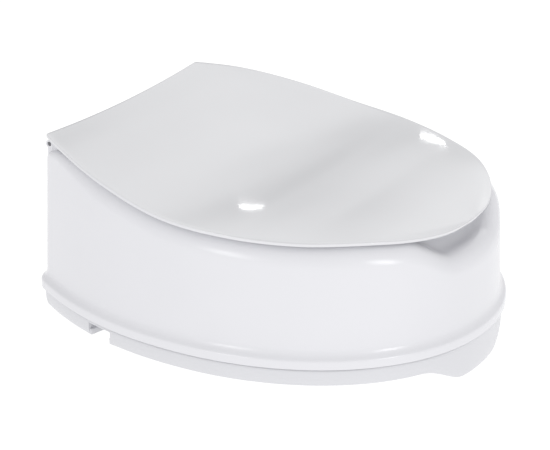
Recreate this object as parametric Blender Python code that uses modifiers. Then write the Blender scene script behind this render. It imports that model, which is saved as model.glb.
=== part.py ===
"""Raised toilet seat with a hinged lid, built as separate parts.

Metres, +Z up.  Front is -Y, the lid hinges at +Y, and the left side is -X.
The origin is on the floor, under the middle of the seat.
"""
import math

import bmesh
import bpy
from mathutils import Matrix, Vector

PARTS = "raised_toilet_seat"
CUTTERS = "cutters"

MM = 0.001
GAP = 0.3 * MM                    # running gap between neighbouring parts

# Plan outline of the seat's outer wall, at its foot.
HALF_WIDTH = 190.0 * MM
HALF_LENGTH = 211.1 * MM
WIDEST_Y = 25.0 * MM              # where the wall is at its full width
REAR_HALF_WIDTH = 136.6 * MM      # half width of the straight rear wall
SIDE_POWER = 2.14                 # how the sides draw in towards the rear
FRONT_POWER = 2.08                # roundness of the front half
WALL_CORNER = 24.0 * MM           # plan radius of the rear corners
LID_CORNER = 12.0 * MM

# Steps along half of the outline: rear wall, corner, side, front.
REAR_STEPS = 3
CORNER_STEPS = 4
SIDE_STEPS = 8
FRONT_STEPS = 14

# Seat shell.
WALL = 3.0 * MM
FLANGE_REACH = 6.5 * MM
FLANGE_BOTTOM = 38.5 * MM
FLANGE_FACE_TOP = 45.6 * MM
BEAD_RADIUS = 3.2 * MM
COVE_RADIUS = 9.8 * MM
COVE_TURN = math.radians(60)
DRAFT = 0.0457                    # inward lean of the wall per unit of height
DRAFT_FOOT = 62.6 * MM            # height where the wall is on the plan outline
EDGE_ROUND = 20.0 * MM            # rounding between the wall and the seat top
REAR_EDGE_ROUND = 8.0 * MM
SEAT_FALL = 14.0 * MM             # drop of the seat top from its rim to the aperture
SEAT_FALL_POWER = 1.25
INNER_WALL_BOTTOM = 38.0 * MM
INNER_WALL_TAPER = 4.0 * MM

# Finger recess at the front of the seat shell.
RECESS_HALF_WIDTH = 98.0 * MM
RECESS_RAMP = 58.0 * MM
RECESS_DEPTH = 20.0 * MM
RECESS_BACK = -162.0 * MM
RECESS_FADE = 34.0 * MM

# Aperture.
APERTURE_HALF_WIDTH = 104.0 * MM
APERTURE_FRONT = -150.0 * MM
APERTURE_REAR = 122.0 * MM
APERTURE_ROUND = 12.0 * MM

# Lid edge: height and inset from the wall outline, at stations along Y.
LID_EDGE_HEIGHT = (
    (-0.2111, 0.1495),
    (-0.1566, 0.1575),
    (-0.0966, 0.1590),
    (-0.0366, 0.1622),
    (0.0334, 0.1685),
    (0.1034, 0.1826),
    (0.1634, 0.1942),
    (0.2111, 0.1997),
)
LID_EDGE_INSET = (
    (-0.2111, 0.0134),
    (-0.1166, 0.0085),
    (0.0034, 0.0028),
    (0.1034, 0.0045),
    (0.2111, 0.0072),
)
LID_DISH = (
    (-0.2111, -0.0008),
    (-0.1566, 0.0004),
    (-0.1100, -0.0007),
    (-0.0700, -0.0012),
    (-0.0400, -0.0005),
    (-0.0100, 0.0014),
    (0.0250, 0.0028),
    (0.0600, 0.0047),
    (0.1100, 0.0047),
    (0.1600, 0.0058),
    (0.2111, 0.0050),
)
LID_WAIST = (
    (-0.2111, -0.0006),
    (-0.1566, -0.0005),
    (-0.1100, -0.0011),
    (-0.0700, -0.0012),
    (-0.0400, -0.0006),
    (-0.0100, -0.0002),
    (0.0250, 0.0006),
    (0.0600, 0.0),
    (0.1100, -0.0003),
    (0.1600, 0.0),
    (0.2111, 0.0),
)
LID_THICKNESS = 3.2 * MM

# Height of the seat rim below the lid edge.
RIM_BELOW_LID = (
    (-0.2111, 0.0046),
    (-0.1500, 0.0044),
    (-0.0700, 0.0046),
    (0.0000, 0.0056),
    (0.0700, 0.0069),
    (0.1300, 0.0074),
    (0.1700, 0.0080),
    (0.1900, 0.0102),
    (0.2111, 0.0176),
)

# Base ring under the shell.
BASE_WALL = 3.0 * MM
SKIRT_REACH = 2.9 * MM
SKIRT_BOTTOM = 20.0 * MM
LEDGE_TOP = 37.0 * MM
LEDGE_ROUND = 2.5 * MM
APRON_FLAT = 30.0 * MM            # half width of the apron's lowest stretch
APRON_END = 85.0 * MM             # half width where the apron meets the skirt
APRON_TAPER = 1.0 * MM
COLLAR_BOTTOM = 5.0 * MM
COLLAR_TAPER = 9.0 * MM

# Bowl pads.
PAD_SIZE = (44.0 * MM, 16.0 * MM, 3.0 * MM)
PAD_SEAT_SIZE = (50.0 * MM, 22.0 * MM)
PAD_SPOTS = (                     # place on the ring and name
    (0.118, -0.125, "front"),
    (0.147, -0.010, "side"),
    (0.085, 0.165, "rear"),
)

# Screws that join the base ring to the shell.
BOSS_RADIUS = 5.0 * MM
BOSS_TOP = 78.0 * MM
BOSS_INSET = 7.5 * MM
SCREW_SHANK = 1.9 * MM
SCREW_HEAD = 3.8 * MM
SCREW_HEAD_HEIGHT = 2.4 * MM
SCREW_LENGTH = 22.0 * MM
SCREW_SPOTS = (                   # distance along Y of each pair, and name
    (-0.178, "front"),
    (-0.070, "mid"),
    (0.045, "side"),
    (0.175, "rear"),
)

# Lid hinge.
HINGE_Y = 199.4 * MM
HINGE_Z = 190.4 * MM
LUG_OUTER = 134.0 * MM
LUG_INNER = 128.3 * MM
LUG_RADIUS = 4.0 * MM
LUG_FOOT = 168.0 * MM
GUSSET_FRONT = 181.0 * MM
GUSSET_FOOT = 176.0 * MM
GUSSET_GAP = 1.2 * MM
KNUCKLE_OUTER = 128.0 * MM
KNUCKLE_INNER = 114.0 * MM
KNUCKLE_RADIUS = 5.0 * MM
KNUCKLE_WEB_REAR = 4.0 * MM
KNUCKLE_WEB_HEIGHT = 5.4 * MM
PIN_RADIUS = 2.0 * MM
PIN_INNER = 113.5 * MM
BUSH_RADIUS = 3.2 * MM

# Lid buffers: place of the right-hand one of each pair, and name.
BUFFER_SPOTS = (
    (0.138, -0.070, "front"),
    (0.128, 0.055, "rear"),
)
LID_PIECES = (
    "lid_panel",
    "lid_buffer_front_left",
    "lid_buffer_front_right",
    "lid_buffer_rear_left",
    "lid_buffer_rear_right",
    "hinge_bush_left",
    "hinge_bush_right",
)
BUFFER_HEIGHTS = {"front": 2.2 * MM, "rear": 2.0 * MM}
BUFFER_RADIUS = 6.0 * MM
BUFFER_SEAT_RADIUS = 7.5 * MM
BUFFER_SEAT_DEPTH = 1.6 * MM

# Side clamps.  Distances run inwards from the skirt's outer face.
NOTCH_Y = 111.0 * MM
NOTCH_HALF_WIDTH = 16.0 * MM      # mouth of the channel in the skirt
CHANNEL_HALF_WIDTH = 16.5 * MM
CHANNEL_WALL = 3.0 * MM
CHANNEL_LENGTH = 93.0 * MM
LIP_HEIGHT = 6.0 * MM
RAIL_BOTTOM = SKIRT_BOTTOM + 0.2 * MM
RAIL_START = 1.5 * MM
WEB = (30.0 * MM, 34.0 * MM)
SCREW_AXIS_Z = 27.0 * MM
SLIDER = (48.5 * MM, 78.5 * MM)
JAW = (52.5 * MM, 76.0 * MM)
JAW_HALF_WIDTH = 20.0 * MM
JAW_PAD = (49.5 * MM, 52.2 * MM)
CLAMP_SCREW_RADIUS = 3.0 * MM
CLAMP_HEAD = (22.5 * MM, 28.9 * MM)
CLAMP_HEAD_RADIUS = 5.5 * MM
SLOT_HALF_WIDTH = 0.7 * MM
SLOT_DEPTH = 1.8 * MM
CLAMP_SCREW_END = 76.0 * MM
NUT = (49.0 * MM, 57.0 * MM)
NUT_RADIUS = 4.8 * MM

ROUND_STEPS = 14
SCREW_STEPS = 10


# ---------------------------------------------------------------- scene helpers

def clear_scene():
    for obj in list(bpy.data.objects):
        bpy.data.objects.remove(obj)
    for collection in list(bpy.data.collections):
        bpy.data.collections.remove(collection)


def new_collection(name):
    collection = bpy.data.collections.new(name)
    bpy.context.scene.collection.children.link(collection)
    return collection


def material(name, color, roughness, metallic=0.0):
    mat = bpy.data.materials.new(name)
    mat.use_nodes = True
    shader = mat.node_tree.nodes["Principled BSDF"]
    shader.inputs["Base Color"].default_value = (*color, 1.0)
    shader.inputs["Roughness"].default_value = roughness
    shader.inputs["Metallic"].default_value = metallic
    return mat


def white_plastic(name):
    return material(name, (0.87, 0.88, 0.89), 0.22)


def nylon(name):
    return material(name, (0.80, 0.80, 0.77), 0.45)


def rubber(name):
    return material(name, (0.10, 0.10, 0.11), 0.8)


def steel(name):
    return material(name, (0.62, 0.63, 0.65), 0.3, 1.0)


def brass(name):
    return material(name, (0.78, 0.60, 0.30), 0.3, 1.0)


def object_from_bmesh(name, bm, mat, parts=True):
    """A new object with the bmesh's geometry, in the parts or the cutters."""
    mesh = bpy.data.meshes.new(name)
    bm.to_mesh(mesh)
    bm.free()
    obj = bpy.data.objects.new(name, mesh)
    bpy.data.collections[PARTS if parts else CUTTERS].objects.link(obj)
    if mat:
        mesh.materials.append(mat)
    if not parts:
        obj.hide_render = True
        obj.display_type = "WIRE"
    return obj


def shade(obj, angle=40):
    obj.data.shade_smooth()
    obj.data.set_sharp_from_angle(angle=math.radians(angle))


def boolean(obj, other, operation):
    modifier = obj.modifiers.new(operation.lower(), "BOOLEAN")
    modifier.object = other
    modifier.operation = operation
    modifier.solver = "EXACT"


def solidify(obj, thickness):
    modifier = obj.modifiers.new("thickness", "SOLIDIFY")
    modifier.thickness = thickness
    modifier.offset = -1.0
    modifier.use_even_offset = True


def add_box(bm, low, high, frame=None):
    """Add a closed box between two corners, in the given frame."""
    low, high = Vector(low), Vector(high)
    size = Matrix.Diagonal((*(high - low), 1.0))
    place = Matrix.Translation((low + high) / 2)
    bmesh.ops.create_cube(bm, size=1.0, matrix=(frame or Matrix()) @ place @ size)


def add_cylinder(bm, radius, start, end, steps=ROUND_STEPS):
    """Add a closed cylinder between two points."""
    start, end = Vector(start), Vector(end)
    turn = (end - start).to_track_quat("Z", "Y").to_matrix().to_4x4()
    place = Matrix.Translation((start + end) / 2) @ turn
    bmesh.ops.create_cone(bm, cap_ends=True, segments=steps, radius1=radius,
                          radius2=radius, depth=(end - start).length, matrix=place)


def box_object(name, low, high, mat, frame=None, parts=True):
    bm = bmesh.new()
    add_box(bm, low, high, frame)
    return object_from_bmesh(name, bm, mat, parts)


def turned(name, profile, mat, steps=ROUND_STEPS, closed=False):
    """Turn a profile of (radius, height) points about its local Z axis."""
    bm = bmesh.new()
    verts = [bm.verts.new((radius, 0.0, height)) for radius, height in profile]
    for first, second in zip(verts, verts[1:]):
        bm.edges.new((first, second))
    if closed:
        bm.edges.new((verts[-1], verts[0]))
    obj = object_from_bmesh(name, bm, mat)
    screw = obj.modifiers.new("turn", "SCREW")
    screw.steps = steps
    screw.render_steps = steps
    screw.use_merge_vertices = True
    screw.merge_threshold = 0.00001
    screw.use_smooth_shade = True
    return obj


def ring(name, inner, outer, length, mat):
    """A plain tube, standing on its local origin."""
    profile = [(outer, length), (outer, 0.0), (inner, 0.0), (inner, length)]
    return turned(name, profile, mat, closed=True)


# ---------------------------------------------------------------- curves in plan

def curve_through(stations, y):
    """Smooth curve through (y, value) stations, held flat past its ends."""
    y = min(max(y, stations[0][0]), stations[-1][0])
    last = len(stations) - 1
    index = next(i for i in range(last) if y <= stations[i + 1][0])

    def slope(i):
        low, high = stations[max(i - 1, 0)], stations[min(i + 1, last)]
        return (high[1] - low[1]) / (high[0] - low[0])

    (y0, v0), (y1, v1) = stations[index], stations[index + 1]
    span = y1 - y0
    t = (y - y0) / span
    return ((2 * t**3 - 3 * t**2 + 1) * v0 + (t**3 - 2 * t**2 + t) * span * slope(index)
            + (3 * t**2 - 2 * t**3) * v1 + (t**3 - t**2) * span * slope(index + 1))


def smooth_step(t):
    t = min(max(t, 0.0), 1.0)
    return t * t * (3 - 2 * t)


def side_x(y):
    """Half width of the wall outline behind its widest point."""
    reach = (y - WIDEST_Y) / (HALF_LENGTH - WIDEST_Y)
    return HALF_WIDTH - (HALF_WIDTH - REAR_HALF_WIDTH) * reach**SIDE_POWER


def side_slope(y):
    """Change of the outline's half width along Y, behind its widest point."""
    length = HALF_LENGTH - WIDEST_Y
    reach = (y - WIDEST_Y) / length
    narrowing = HALF_WIDTH - REAR_HALF_WIDTH
    return -narrowing * SIDE_POWER * reach ** (SIDE_POWER - 1) / length


def half_outline(corner_radius):
    """Right half of the wall outline, from the rear middle to the front middle."""
    corner = Vector((REAR_HALF_WIDTH, HALF_LENGTH))
    along_side = Vector((-side_slope(HALF_LENGTH), -1.0)).normalized()
    along_rear = Vector((-1.0, 0.0))
    trim = corner_radius / math.tan(along_rear.angle(along_side) / 2)
    start = corner + along_rear * trim
    end = corner + along_side * trim
    points = [Vector((start.x * i / REAR_STEPS, HALF_LENGTH)) for i in range(REAR_STEPS)]
    for i in range(CORNER_STEPS):
        t = i / CORNER_STEPS
        points.append((1 - t) ** 2 * start + 2 * t * (1 - t) * corner + t**2 * end)
    for i in range(SIDE_STEPS):
        y = end.y + (WIDEST_Y - end.y) * i / SIDE_STEPS
        points.append(Vector((side_x(y), y)))
    for i in range(FRONT_STEPS + 1):
        turn = math.pi / 2 * i / FRONT_STEPS
        x = HALF_WIDTH * max(math.cos(turn), 0.0) ** (2 / FRONT_POWER)
        y = WIDEST_Y - (WIDEST_Y + HALF_LENGTH) * math.sin(turn) ** (2 / FRONT_POWER)
        points.append(Vector((x, y)))
    return points


def full_loop(half):
    """Close a right half that starts and ends on the Y axis with its mirror."""
    left = [Vector((-p.x, p.y)) for p in reversed(half[1:-1])]
    return half + left


def outward_normals(loop):
    """Unit normals of a loop that runs clockwise as seen from above."""
    normals = []
    for index in range(len(loop)):
        chord = loop[(index + 1) % len(loop)] - loop[index - 1]
        normals.append(Vector((-chord.y, chord.x)).normalized())
    return normals


WALL_LOOP = full_loop(half_outline(WALL_CORNER))
WALL_NORMALS = outward_normals(WALL_LOOP)
LID_LOOP = full_loop(half_outline(LID_CORNER))
LID_NORMALS = outward_normals(LID_LOOP)


def aperture_point(wall_point):
    """Point of the aperture outline that faces a point of the wall outline."""
    turn = math.atan2(wall_point.y / HALF_LENGTH, wall_point.x / HALF_WIDTH)
    middle = (APERTURE_FRONT + APERTURE_REAR) / 2
    reach = (APERTURE_REAR - APERTURE_FRONT) / 2
    return Vector((APERTURE_HALF_WIDTH * math.cos(turn), middle + reach * math.sin(turn)))


APERTURE_LOOP = [aperture_point(p) for p in WALL_LOOP]
APERTURE_NORMALS = outward_normals(APERTURE_LOOP)


def offset_loop(loop, normals, offset):
    return [p + n * offset for p, n in zip(loop, normals)]


def raised(loop, heights):
    """Give a plan loop its heights: one number, or one per point."""
    if isinstance(heights, float):
        heights = [heights] * len(loop)
    return [Vector((p.x, p.y, z)) for p, z in zip(loop, heights)]


def loft(loops):
    """Open surface through closed loops that have the same number of points."""
    bm = bmesh.new()
    rings = [[bm.verts.new(p) for p in loop] for loop in loops]
    count = len(rings[0])
    for lower, upper in zip(rings, rings[1:]):
        for i in range(count):
            j = (i + 1) % count
            bm.faces.new((lower[j], lower[i], upper[i], upper[j]))
    return bm


# ---------------------------------------------------------------- seat shell

def recess_drop(x, y):
    """Depth of the finger recess, which fades out towards the aperture."""
    across = smooth_step((RECESS_HALF_WIDTH - abs(x)) / RECESS_RAMP)
    return RECESS_DEPTH * across * smooth_step((RECESS_BACK - y) / RECESS_FADE)


def contour(x, y):
    """Height of the seat's rim line at a place in plan."""
    lid_edge = curve_through(LID_EDGE_HEIGHT, y)
    return lid_edge - curve_through(RIM_BELOW_LID, y) - recess_drop(x, y)


def rim_height(point):
    """Height of the seat's outer rim at a point of the wall outline."""
    return contour(point.x, point.y)


def edge_round(point):
    """Rounding between wall and seat top, tighter at the rear."""
    rear = smooth_step((point.y - 0.10) / 0.10)
    return EDGE_ROUND + (REAR_EDGE_ROUND - EDGE_ROUND) * rear


def inward(point, target, distance):
    return point + (target - point).normalized() * distance


def wall_offset(height):
    return -DRAFT * (height - DRAFT_FOOT)


def flange_loops():
    """From the flange's lower edge, over its bead and cove, to the wall."""
    profile = [(FLANGE_REACH, FLANGE_BOTTOM), (FLANGE_REACH, FLANGE_FACE_TOP)]
    for turn in (0.5 * COVE_TURN, COVE_TURN):
        profile.append((FLANGE_REACH - BEAD_RADIUS * (1 - math.cos(turn)),
                        FLANGE_FACE_TOP + BEAD_RADIUS * math.sin(turn)))
    cove_top = FLANGE_FACE_TOP + (BEAD_RADIUS + COVE_RADIUS) * math.sin(COVE_TURN)
    for turn in (0.5 * COVE_TURN, 0.0):
        profile.append((wall_offset(cove_top) + COVE_RADIUS * (1 - math.cos(turn)),
                        cove_top - COVE_RADIUS * math.sin(turn)))
    return [raised(offset_loop(WALL_LOOP, WALL_NORMALS, reach), height)
            for reach, height in profile]


def rim_loops():
    """Rounding from the wall to the rim, in steps of its turn."""
    loops = []
    for turn in (0.0, 0.25, 0.5, 0.75, 1.0):
        angle = turn * math.pi / 2
        loop = []
        for point, normal, target in zip(WALL_LOOP, WALL_NORMALS, APERTURE_LOOP):
            radius = edge_round(point)
            foot = rim_height(point) - radius
            start = point + normal * wall_offset(foot)
            place = inward(start, target, radius * (1 - math.cos(angle)))
            loop.append(Vector((place.x, place.y, foot + radius * math.sin(angle))))
        loops.append(loop)
    return loops


def seat_top_loops(rim):
    """From the rim over the seat top to the aperture's rounded edge."""
    edge = offset_loop(APERTURE_LOOP, APERTURE_NORMALS, APERTURE_ROUND)
    loops = []
    for along in (0.2, 0.55, 1.0):
        loop = []
        for start, end, wall_point in zip(rim, edge, WALL_LOOP):
            place = start.xy.lerp(end, along)
            outer = rim_height(wall_point)
            level = outer + (contour(place.x, place.y) - outer) * along
            loop.append(Vector((place.x, place.y, level - SEAT_FALL * along**SEAT_FALL_POWER)))
        loops.append(loop)
    return loops


def inner_wall_loops(edge):
    """Aperture rounding and the wall that runs down inside the seat."""
    loops = []
    for turn in (0.4, 0.75, 1.0):
        angle = turn * math.pi / 2
        reach = APERTURE_ROUND * (1 - math.sin(angle))
        heights = [p.z - APERTURE_ROUND * (1 - math.cos(angle)) for p in edge]
        loops.append(raised(offset_loop(APERTURE_LOOP, APERTURE_NORMALS, reach), heights))
    foot = offset_loop(APERTURE_LOOP, APERTURE_NORMALS, -INNER_WALL_TAPER)
    loops.append(raised(foot, INNER_WALL_BOTTOM))
    return loops


def screw_places():
    """Plan place of every base screw, with its name."""
    places = []
    half = half_outline(WALL_CORNER)
    normals = outward_normals(full_loop(half))
    for y, name in SCREW_SPOTS:
        index = min(range(1, len(half) - 1), key=lambda i: abs(half[i].y - y))
        place = half[index] - normals[index] * BOSS_INSET
        places.append((Vector((-place.x, place.y)), name + "_left"))
        places.append((place, name + "_right"))
    return places


def seat_bosses():
    """Screw posts, which grow out of the inside of the wall."""
    bm = bmesh.new()
    for place, _ in screw_places():
        foot = Vector((place.x, place.y, LEDGE_TOP + GAP))
        add_cylinder(bm, BOSS_RADIUS, foot, (foot.x, foot.y, BOSS_TOP))
    return object_from_bmesh("boss_posts", bm, None, parts=False)


def screw_bores(name, top):
    """Clearance holes for the base screws, up to a height."""
    bm = bmesh.new()
    for place, _ in screw_places():
        foot = Vector((place.x, place.y, SKIRT_BOTTOM))
        add_cylinder(bm, SCREW_SHANK + GAP, foot, (foot.x, foot.y, top), SCREW_STEPS)
    return object_from_bmesh(name, bm, None, parts=False)


def hinge_lugs():
    """Two ears on the rear corners of the shell that hold the hinge pins."""
    bm = bmesh.new()
    for side in (-1, 1):
        inner, outer = side * LUG_INNER, side * LUG_OUTER
        add_cylinder(bm, LUG_RADIUS, (inner, HINGE_Y, HINGE_Z), (outer, HINGE_Y, HINGE_Z))
    ears = object_from_bmesh("lug_heads", bm, None, parts=False)
    bm = bmesh.new()
    for side in (-1, 1):
        inner, outer = sorted((side * LUG_INNER, side * LUG_OUTER))
        add_box(bm, (inner, HINGE_Y - LUG_RADIUS, LUG_FOOT), (outer, HINGE_Y + 2 * MM, HINGE_Z))
    stems = object_from_bmesh("lug_stems", bm, None, parts=False)
    return ears, stems, *lug_gussets()


def lug_gussets():
    """Webs that carry the ears forwards to the shell's rim, just under the lid."""
    rear = HINGE_Y - LUG_RADIUS + 1 * MM
    outline = [(rear, GUSSET_FOOT), (GUSSET_FRONT, GUSSET_FOOT)]
    for y in (GUSSET_FRONT, rear):
        outline.append((y, lid_height(LUG_OUTER, y) - LID_THICKNESS - GUSSET_GAP))
    solids = []
    for side, name in ((-1, "left"), (1, "right")):
        bm = extruded(outline, side * (LUG_INNER + GAP), side * (LUG_OUTER - GAP))
        solids.append(object_from_bmesh(f"lug_gusset_{name}", bm, None, parts=False))
    return solids


def lug_bores():
    bm = bmesh.new()
    for side in (-1, 1):
        start = side * (LUG_INNER - 1 * MM)
        end = side * (LUG_OUTER + 1 * MM)
        add_cylinder(bm, PIN_RADIUS + GAP, (start, HINGE_Y, HINGE_Z), (end, HINGE_Y, HINGE_Z))
    return object_from_bmesh("lug_bores", bm, None, parts=False)


def hang_on_hinge(names):
    """Parent the lid's pieces to an empty on the hinge axis, leaving them in place."""
    axis = bpy.data.objects.new("lid_hinge_axis", None)
    axis.location = (0.0, HINGE_Y, HINGE_Z)
    bpy.data.collections[PARTS].objects.link(axis)
    place = Matrix.Translation(axis.location)
    for name in names:
        piece = bpy.data.objects[name]
        piece.parent = axis
        piece.matrix_parent_inverse = place.inverted()


def build_seat_shell():
    rim = rim_loops()
    top = seat_top_loops(rim[-1])
    bm = loft(flange_loops() + rim + top + inner_wall_loops(top[-1]))
    shell = object_from_bmesh("seat_shell", bm, white_plastic("seat_shell"))
    solidify(shell, WALL)
    boolean(shell, seat_bosses(), "UNION")
    for lug in hinge_lugs():
        boolean(shell, lug, "UNION")
    boolean(shell, screw_bores("boss_bores", LEDGE_TOP + SCREW_LENGTH), "DIFFERENCE")
    boolean(shell, lug_bores(), "DIFFERENCE")
    shade(shell)


# ---------------------------------------------------------------- lid

def lid_edge():
    """Plan loop of the lid's edge."""
    return [p - n * curve_through(LID_EDGE_INSET, p.y) for p, n in zip(LID_LOOP, LID_NORMALS)]


LID_EDGE = lid_edge()


def lid_station(y):
    """Place along the wall outline whose edge height the lid has at y."""
    if y > 0:
        inset = LID_EDGE_INSET[-1][1]
        return y + inset * (y / (HALF_LENGTH - inset)) ** 4
    inset = LID_EDGE_INSET[0][1]
    return y - inset * (y / (HALF_LENGTH - inset)) ** 2


def lid_half_width(y):
    """Half width of the lid at a distance along Y, leaving out its rounded corners."""
    station = lid_station(y)
    inset = curve_through(LID_EDGE_INSET, station)
    if station > WIDEST_Y:
        return side_x(station) - inset
    reach = min((WIDEST_Y - station) / (WIDEST_Y + HALF_LENGTH), 1.0)
    return max(HALF_WIDTH * (1 - reach**FRONT_POWER) ** (1 / FRONT_POWER) - inset, MM)


def lid_height(x, y):
    """Height of the lid's top face: its edge, less the dish and the fuller curve beside it."""
    across = min(abs(x) / lid_half_width(y), 1.0)
    station = lid_station(y)
    dish = curve_through(LID_DISH, station) * (1 - across**2)
    waist = 4 * curve_through(LID_WAIST, station) * across**2 * (1 - across**2)
    return curve_through(LID_EDGE_HEIGHT, station) - dish - waist


def lid_loops():
    """Loops from the lid's edge to a line along its middle."""
    spine = 0.55
    loops = []
    for shrink in (0.0, 0.07, 0.18, 0.36, 0.62, 1.0):
        loop = []
        for edge in LID_EDGE:
            x = edge.x * (1 - shrink)
            y = edge.y * (1 - shrink * (1 - spine))
            loop.append(Vector((x, y, lid_height(x, y))))
        loops.append(loop)
    return loops


def lid_knuckles():
    """Barrels under the lid's rear corners that turn on the hinge pins."""
    bm = bmesh.new()
    for side in (-1, 1):
        inner, outer = side * KNUCKLE_INNER, side * KNUCKLE_OUTER
        add_cylinder(bm, KNUCKLE_RADIUS, (inner, HINGE_Y, HINGE_Z), (outer, HINGE_Y, HINGE_Z))
    barrels = object_from_bmesh("knuckle_barrels", bm, None, parts=False)
    bm = bmesh.new()
    for side in (-1, 1):
        inner, outer = sorted((side * KNUCKLE_INNER, side * KNUCKLE_OUTER))
        add_box(bm, (inner, HINGE_Y - KNUCKLE_RADIUS, HINGE_Z),
                (outer, HINGE_Y + KNUCKLE_WEB_REAR, HINGE_Z + KNUCKLE_WEB_HEIGHT))
    webs = object_from_bmesh("knuckle_webs", bm, None, parts=False)
    return barrels, webs


def knuckle_bores():
    bm = bmesh.new()
    for side in (-1, 1):
        start = side * (KNUCKLE_INNER - 1 * MM)
        end = side * (KNUCKLE_OUTER + 1 * MM)
        add_cylinder(bm, BUSH_RADIUS + GAP, (start, HINGE_Y, HINGE_Z), (end, HINGE_Y, HINGE_Z))
    return object_from_bmesh("knuckle_bores", bm, None, parts=False)


def buffer_seats():
    """Round pads under the lid that carry the rubber buffers."""
    bm = bmesh.new()
    for side in (-1, 1):
        for x, y, _ in BUFFER_SPOTS:
            under = Vector((side * x, y, lid_height(x, y) - LID_THICKNESS))
            depth = Vector((0.0, 0.0, BUFFER_SEAT_DEPTH))
            add_cylinder(bm, BUFFER_SEAT_RADIUS, under - depth, under + depth)
    return object_from_bmesh("buffer_seats", bm, None, parts=False)


def build_lid_panel():
    bm = loft(lid_loops())
    bmesh.ops.remove_doubles(bm, verts=bm.verts, dist=0.01 * MM)
    lid = object_from_bmesh("lid_panel", bm, white_plastic("lid_panel"))
    solidify(lid, LID_THICKNESS)
    for part in (*lid_knuckles(), buffer_seats()):
        boolean(lid, part, "UNION")
    boolean(lid, knuckle_bores(), "DIFFERENCE")
    shade(lid)
    return lid


def build_buffers():
    """Rubber buffers between the lid and the seat's top."""
    mat = rubber("buffer_rubber")
    for side, side_name in ((-1, "left"), (1, "right")):
        for x, y, place in BUFFER_SPOTS:
            top = lid_height(x, y) - LID_THICKNESS - BUFFER_SEAT_DEPTH - GAP
            height = BUFFER_HEIGHTS[place]
            profile = [(0.0, 0.0), (BUFFER_RADIUS, 0.0), (BUFFER_RADIUS, 1.2 * MM - height),
                       (BUFFER_RADIUS - 1.2 * MM, -height), (0.0, -height)]
            buffer = turned(f"lid_buffer_{place}_{side_name}", profile, mat)
            buffer.location = (side * x, y, top)


def build_hinge():
    """Pins fixed in the shell's lugs, and bushes in the lid's knuckles."""
    for side, name in ((-1, "left"), (1, "right")):
        outward = (0.0, math.radians(90 * side), 0.0)
        length = LUG_OUTER - 0.6 * MM - PIN_INNER
        chamfer = 0.4 * MM
        profile = [(0.0, length), (PIN_RADIUS - chamfer, length), (PIN_RADIUS, length - chamfer),
                   (PIN_RADIUS, chamfer), (PIN_RADIUS - chamfer, 0.0), (0.0, 0.0)]
        pin = turned(f"hinge_pin_{name}", profile, steel("hinge_pin"))
        pin.location = (side * PIN_INNER, HINGE_Y, HINGE_Z)
        pin.rotation_euler = outward
        bush_length = KNUCKLE_OUTER - KNUCKLE_INNER - 2 * GAP
        bush = ring(f"hinge_bush_{name}", PIN_RADIUS + GAP, BUSH_RADIUS, bush_length, nylon("hinge_bush"))
        bush.location = (side * (KNUCKLE_INNER + GAP), HINGE_Y, HINGE_Z)
        bush.rotation_euler = outward


# ---------------------------------------------------------------- base ring

def clamp_frame(side):
    """Frame of one side clamp: X inwards from the skirt's outer face, Z up."""
    outward = Vector((side, -side_slope(NOTCH_Y), 0.0)).normalized()
    across = Vector((0.0, 0.0, 1.0)).cross(-outward)
    foot_y = NOTCH_Y - SKIRT_REACH * abs(outward.y)
    origin = Vector((side * side_x(foot_y), foot_y, 0.0)) + outward * SKIRT_REACH
    rotation = Matrix((-outward, across, Vector((0.0, 0.0, 1.0)))).transposed().to_4x4()
    return Matrix.Translation(origin) @ rotation


def apron_share(point):
    """0 on the plain skirt, 1 on the apron's lowest stretch."""
    if point.y > 0:
        return 0.0
    return smooth_step((APRON_END - abs(point.x)) / (APRON_END - APRON_FLAT))


def skirt_foot_loop():
    loop = []
    for point, normal in zip(WALL_LOOP, WALL_NORMALS):
        share = apron_share(point)
        place = point + normal * (SKIRT_REACH - APRON_TAPER * share)
        loop.append(Vector((place.x, place.y, SKIRT_BOTTOM * (1 - share))))
    return loop


def skirt_middle_loop():
    """Keeps the skirt upright above the apron's taper."""
    loop = []
    for point, normal in zip(WALL_LOOP, WALL_NORMALS):
        place = point + normal * (SKIRT_REACH - 0.15 * APRON_TAPER * apron_share(point))
        loop.append(Vector((place.x, place.y, SKIRT_BOTTOM + 2 * MM - 8 * MM * apron_share(point))))
    return loop


def base_ring_loops():
    """Skirt, ledge and splash collar, from the skirt's foot to the collar's."""
    corner = LEDGE_TOP - LEDGE_ROUND
    return [
        skirt_foot_loop(),
        skirt_middle_loop(),
        raised(offset_loop(WALL_LOOP, WALL_NORMALS, SKIRT_REACH), corner),
        raised(offset_loop(WALL_LOOP, WALL_NORMALS, SKIRT_REACH - LEDGE_ROUND), LEDGE_TOP),
        raised(offset_loop(APERTURE_LOOP, APERTURE_NORMALS, LEDGE_ROUND - INNER_WALL_TAPER), LEDGE_TOP),
        raised(offset_loop(APERTURE_LOOP, APERTURE_NORMALS, -INNER_WALL_TAPER - 1 * MM), corner),
        raised(offset_loop(APERTURE_LOOP, APERTURE_NORMALS, -COLLAR_TAPER), COLLAR_BOTTOM),
    ]


def notch_cutters():
    """Mouths of the clamp channels in the skirt."""
    bm = bmesh.new()
    for side in (-1, 1):
        add_box(bm, (-10 * MM, -NOTCH_HALF_WIDTH, -5 * MM),
                (10 * MM, NOTCH_HALF_WIDTH, LEDGE_TOP - BASE_WALL - 0.4 * MM), clamp_frame(side))
    return object_from_bmesh("channel_mouths", bm, None, parts=False)


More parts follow.
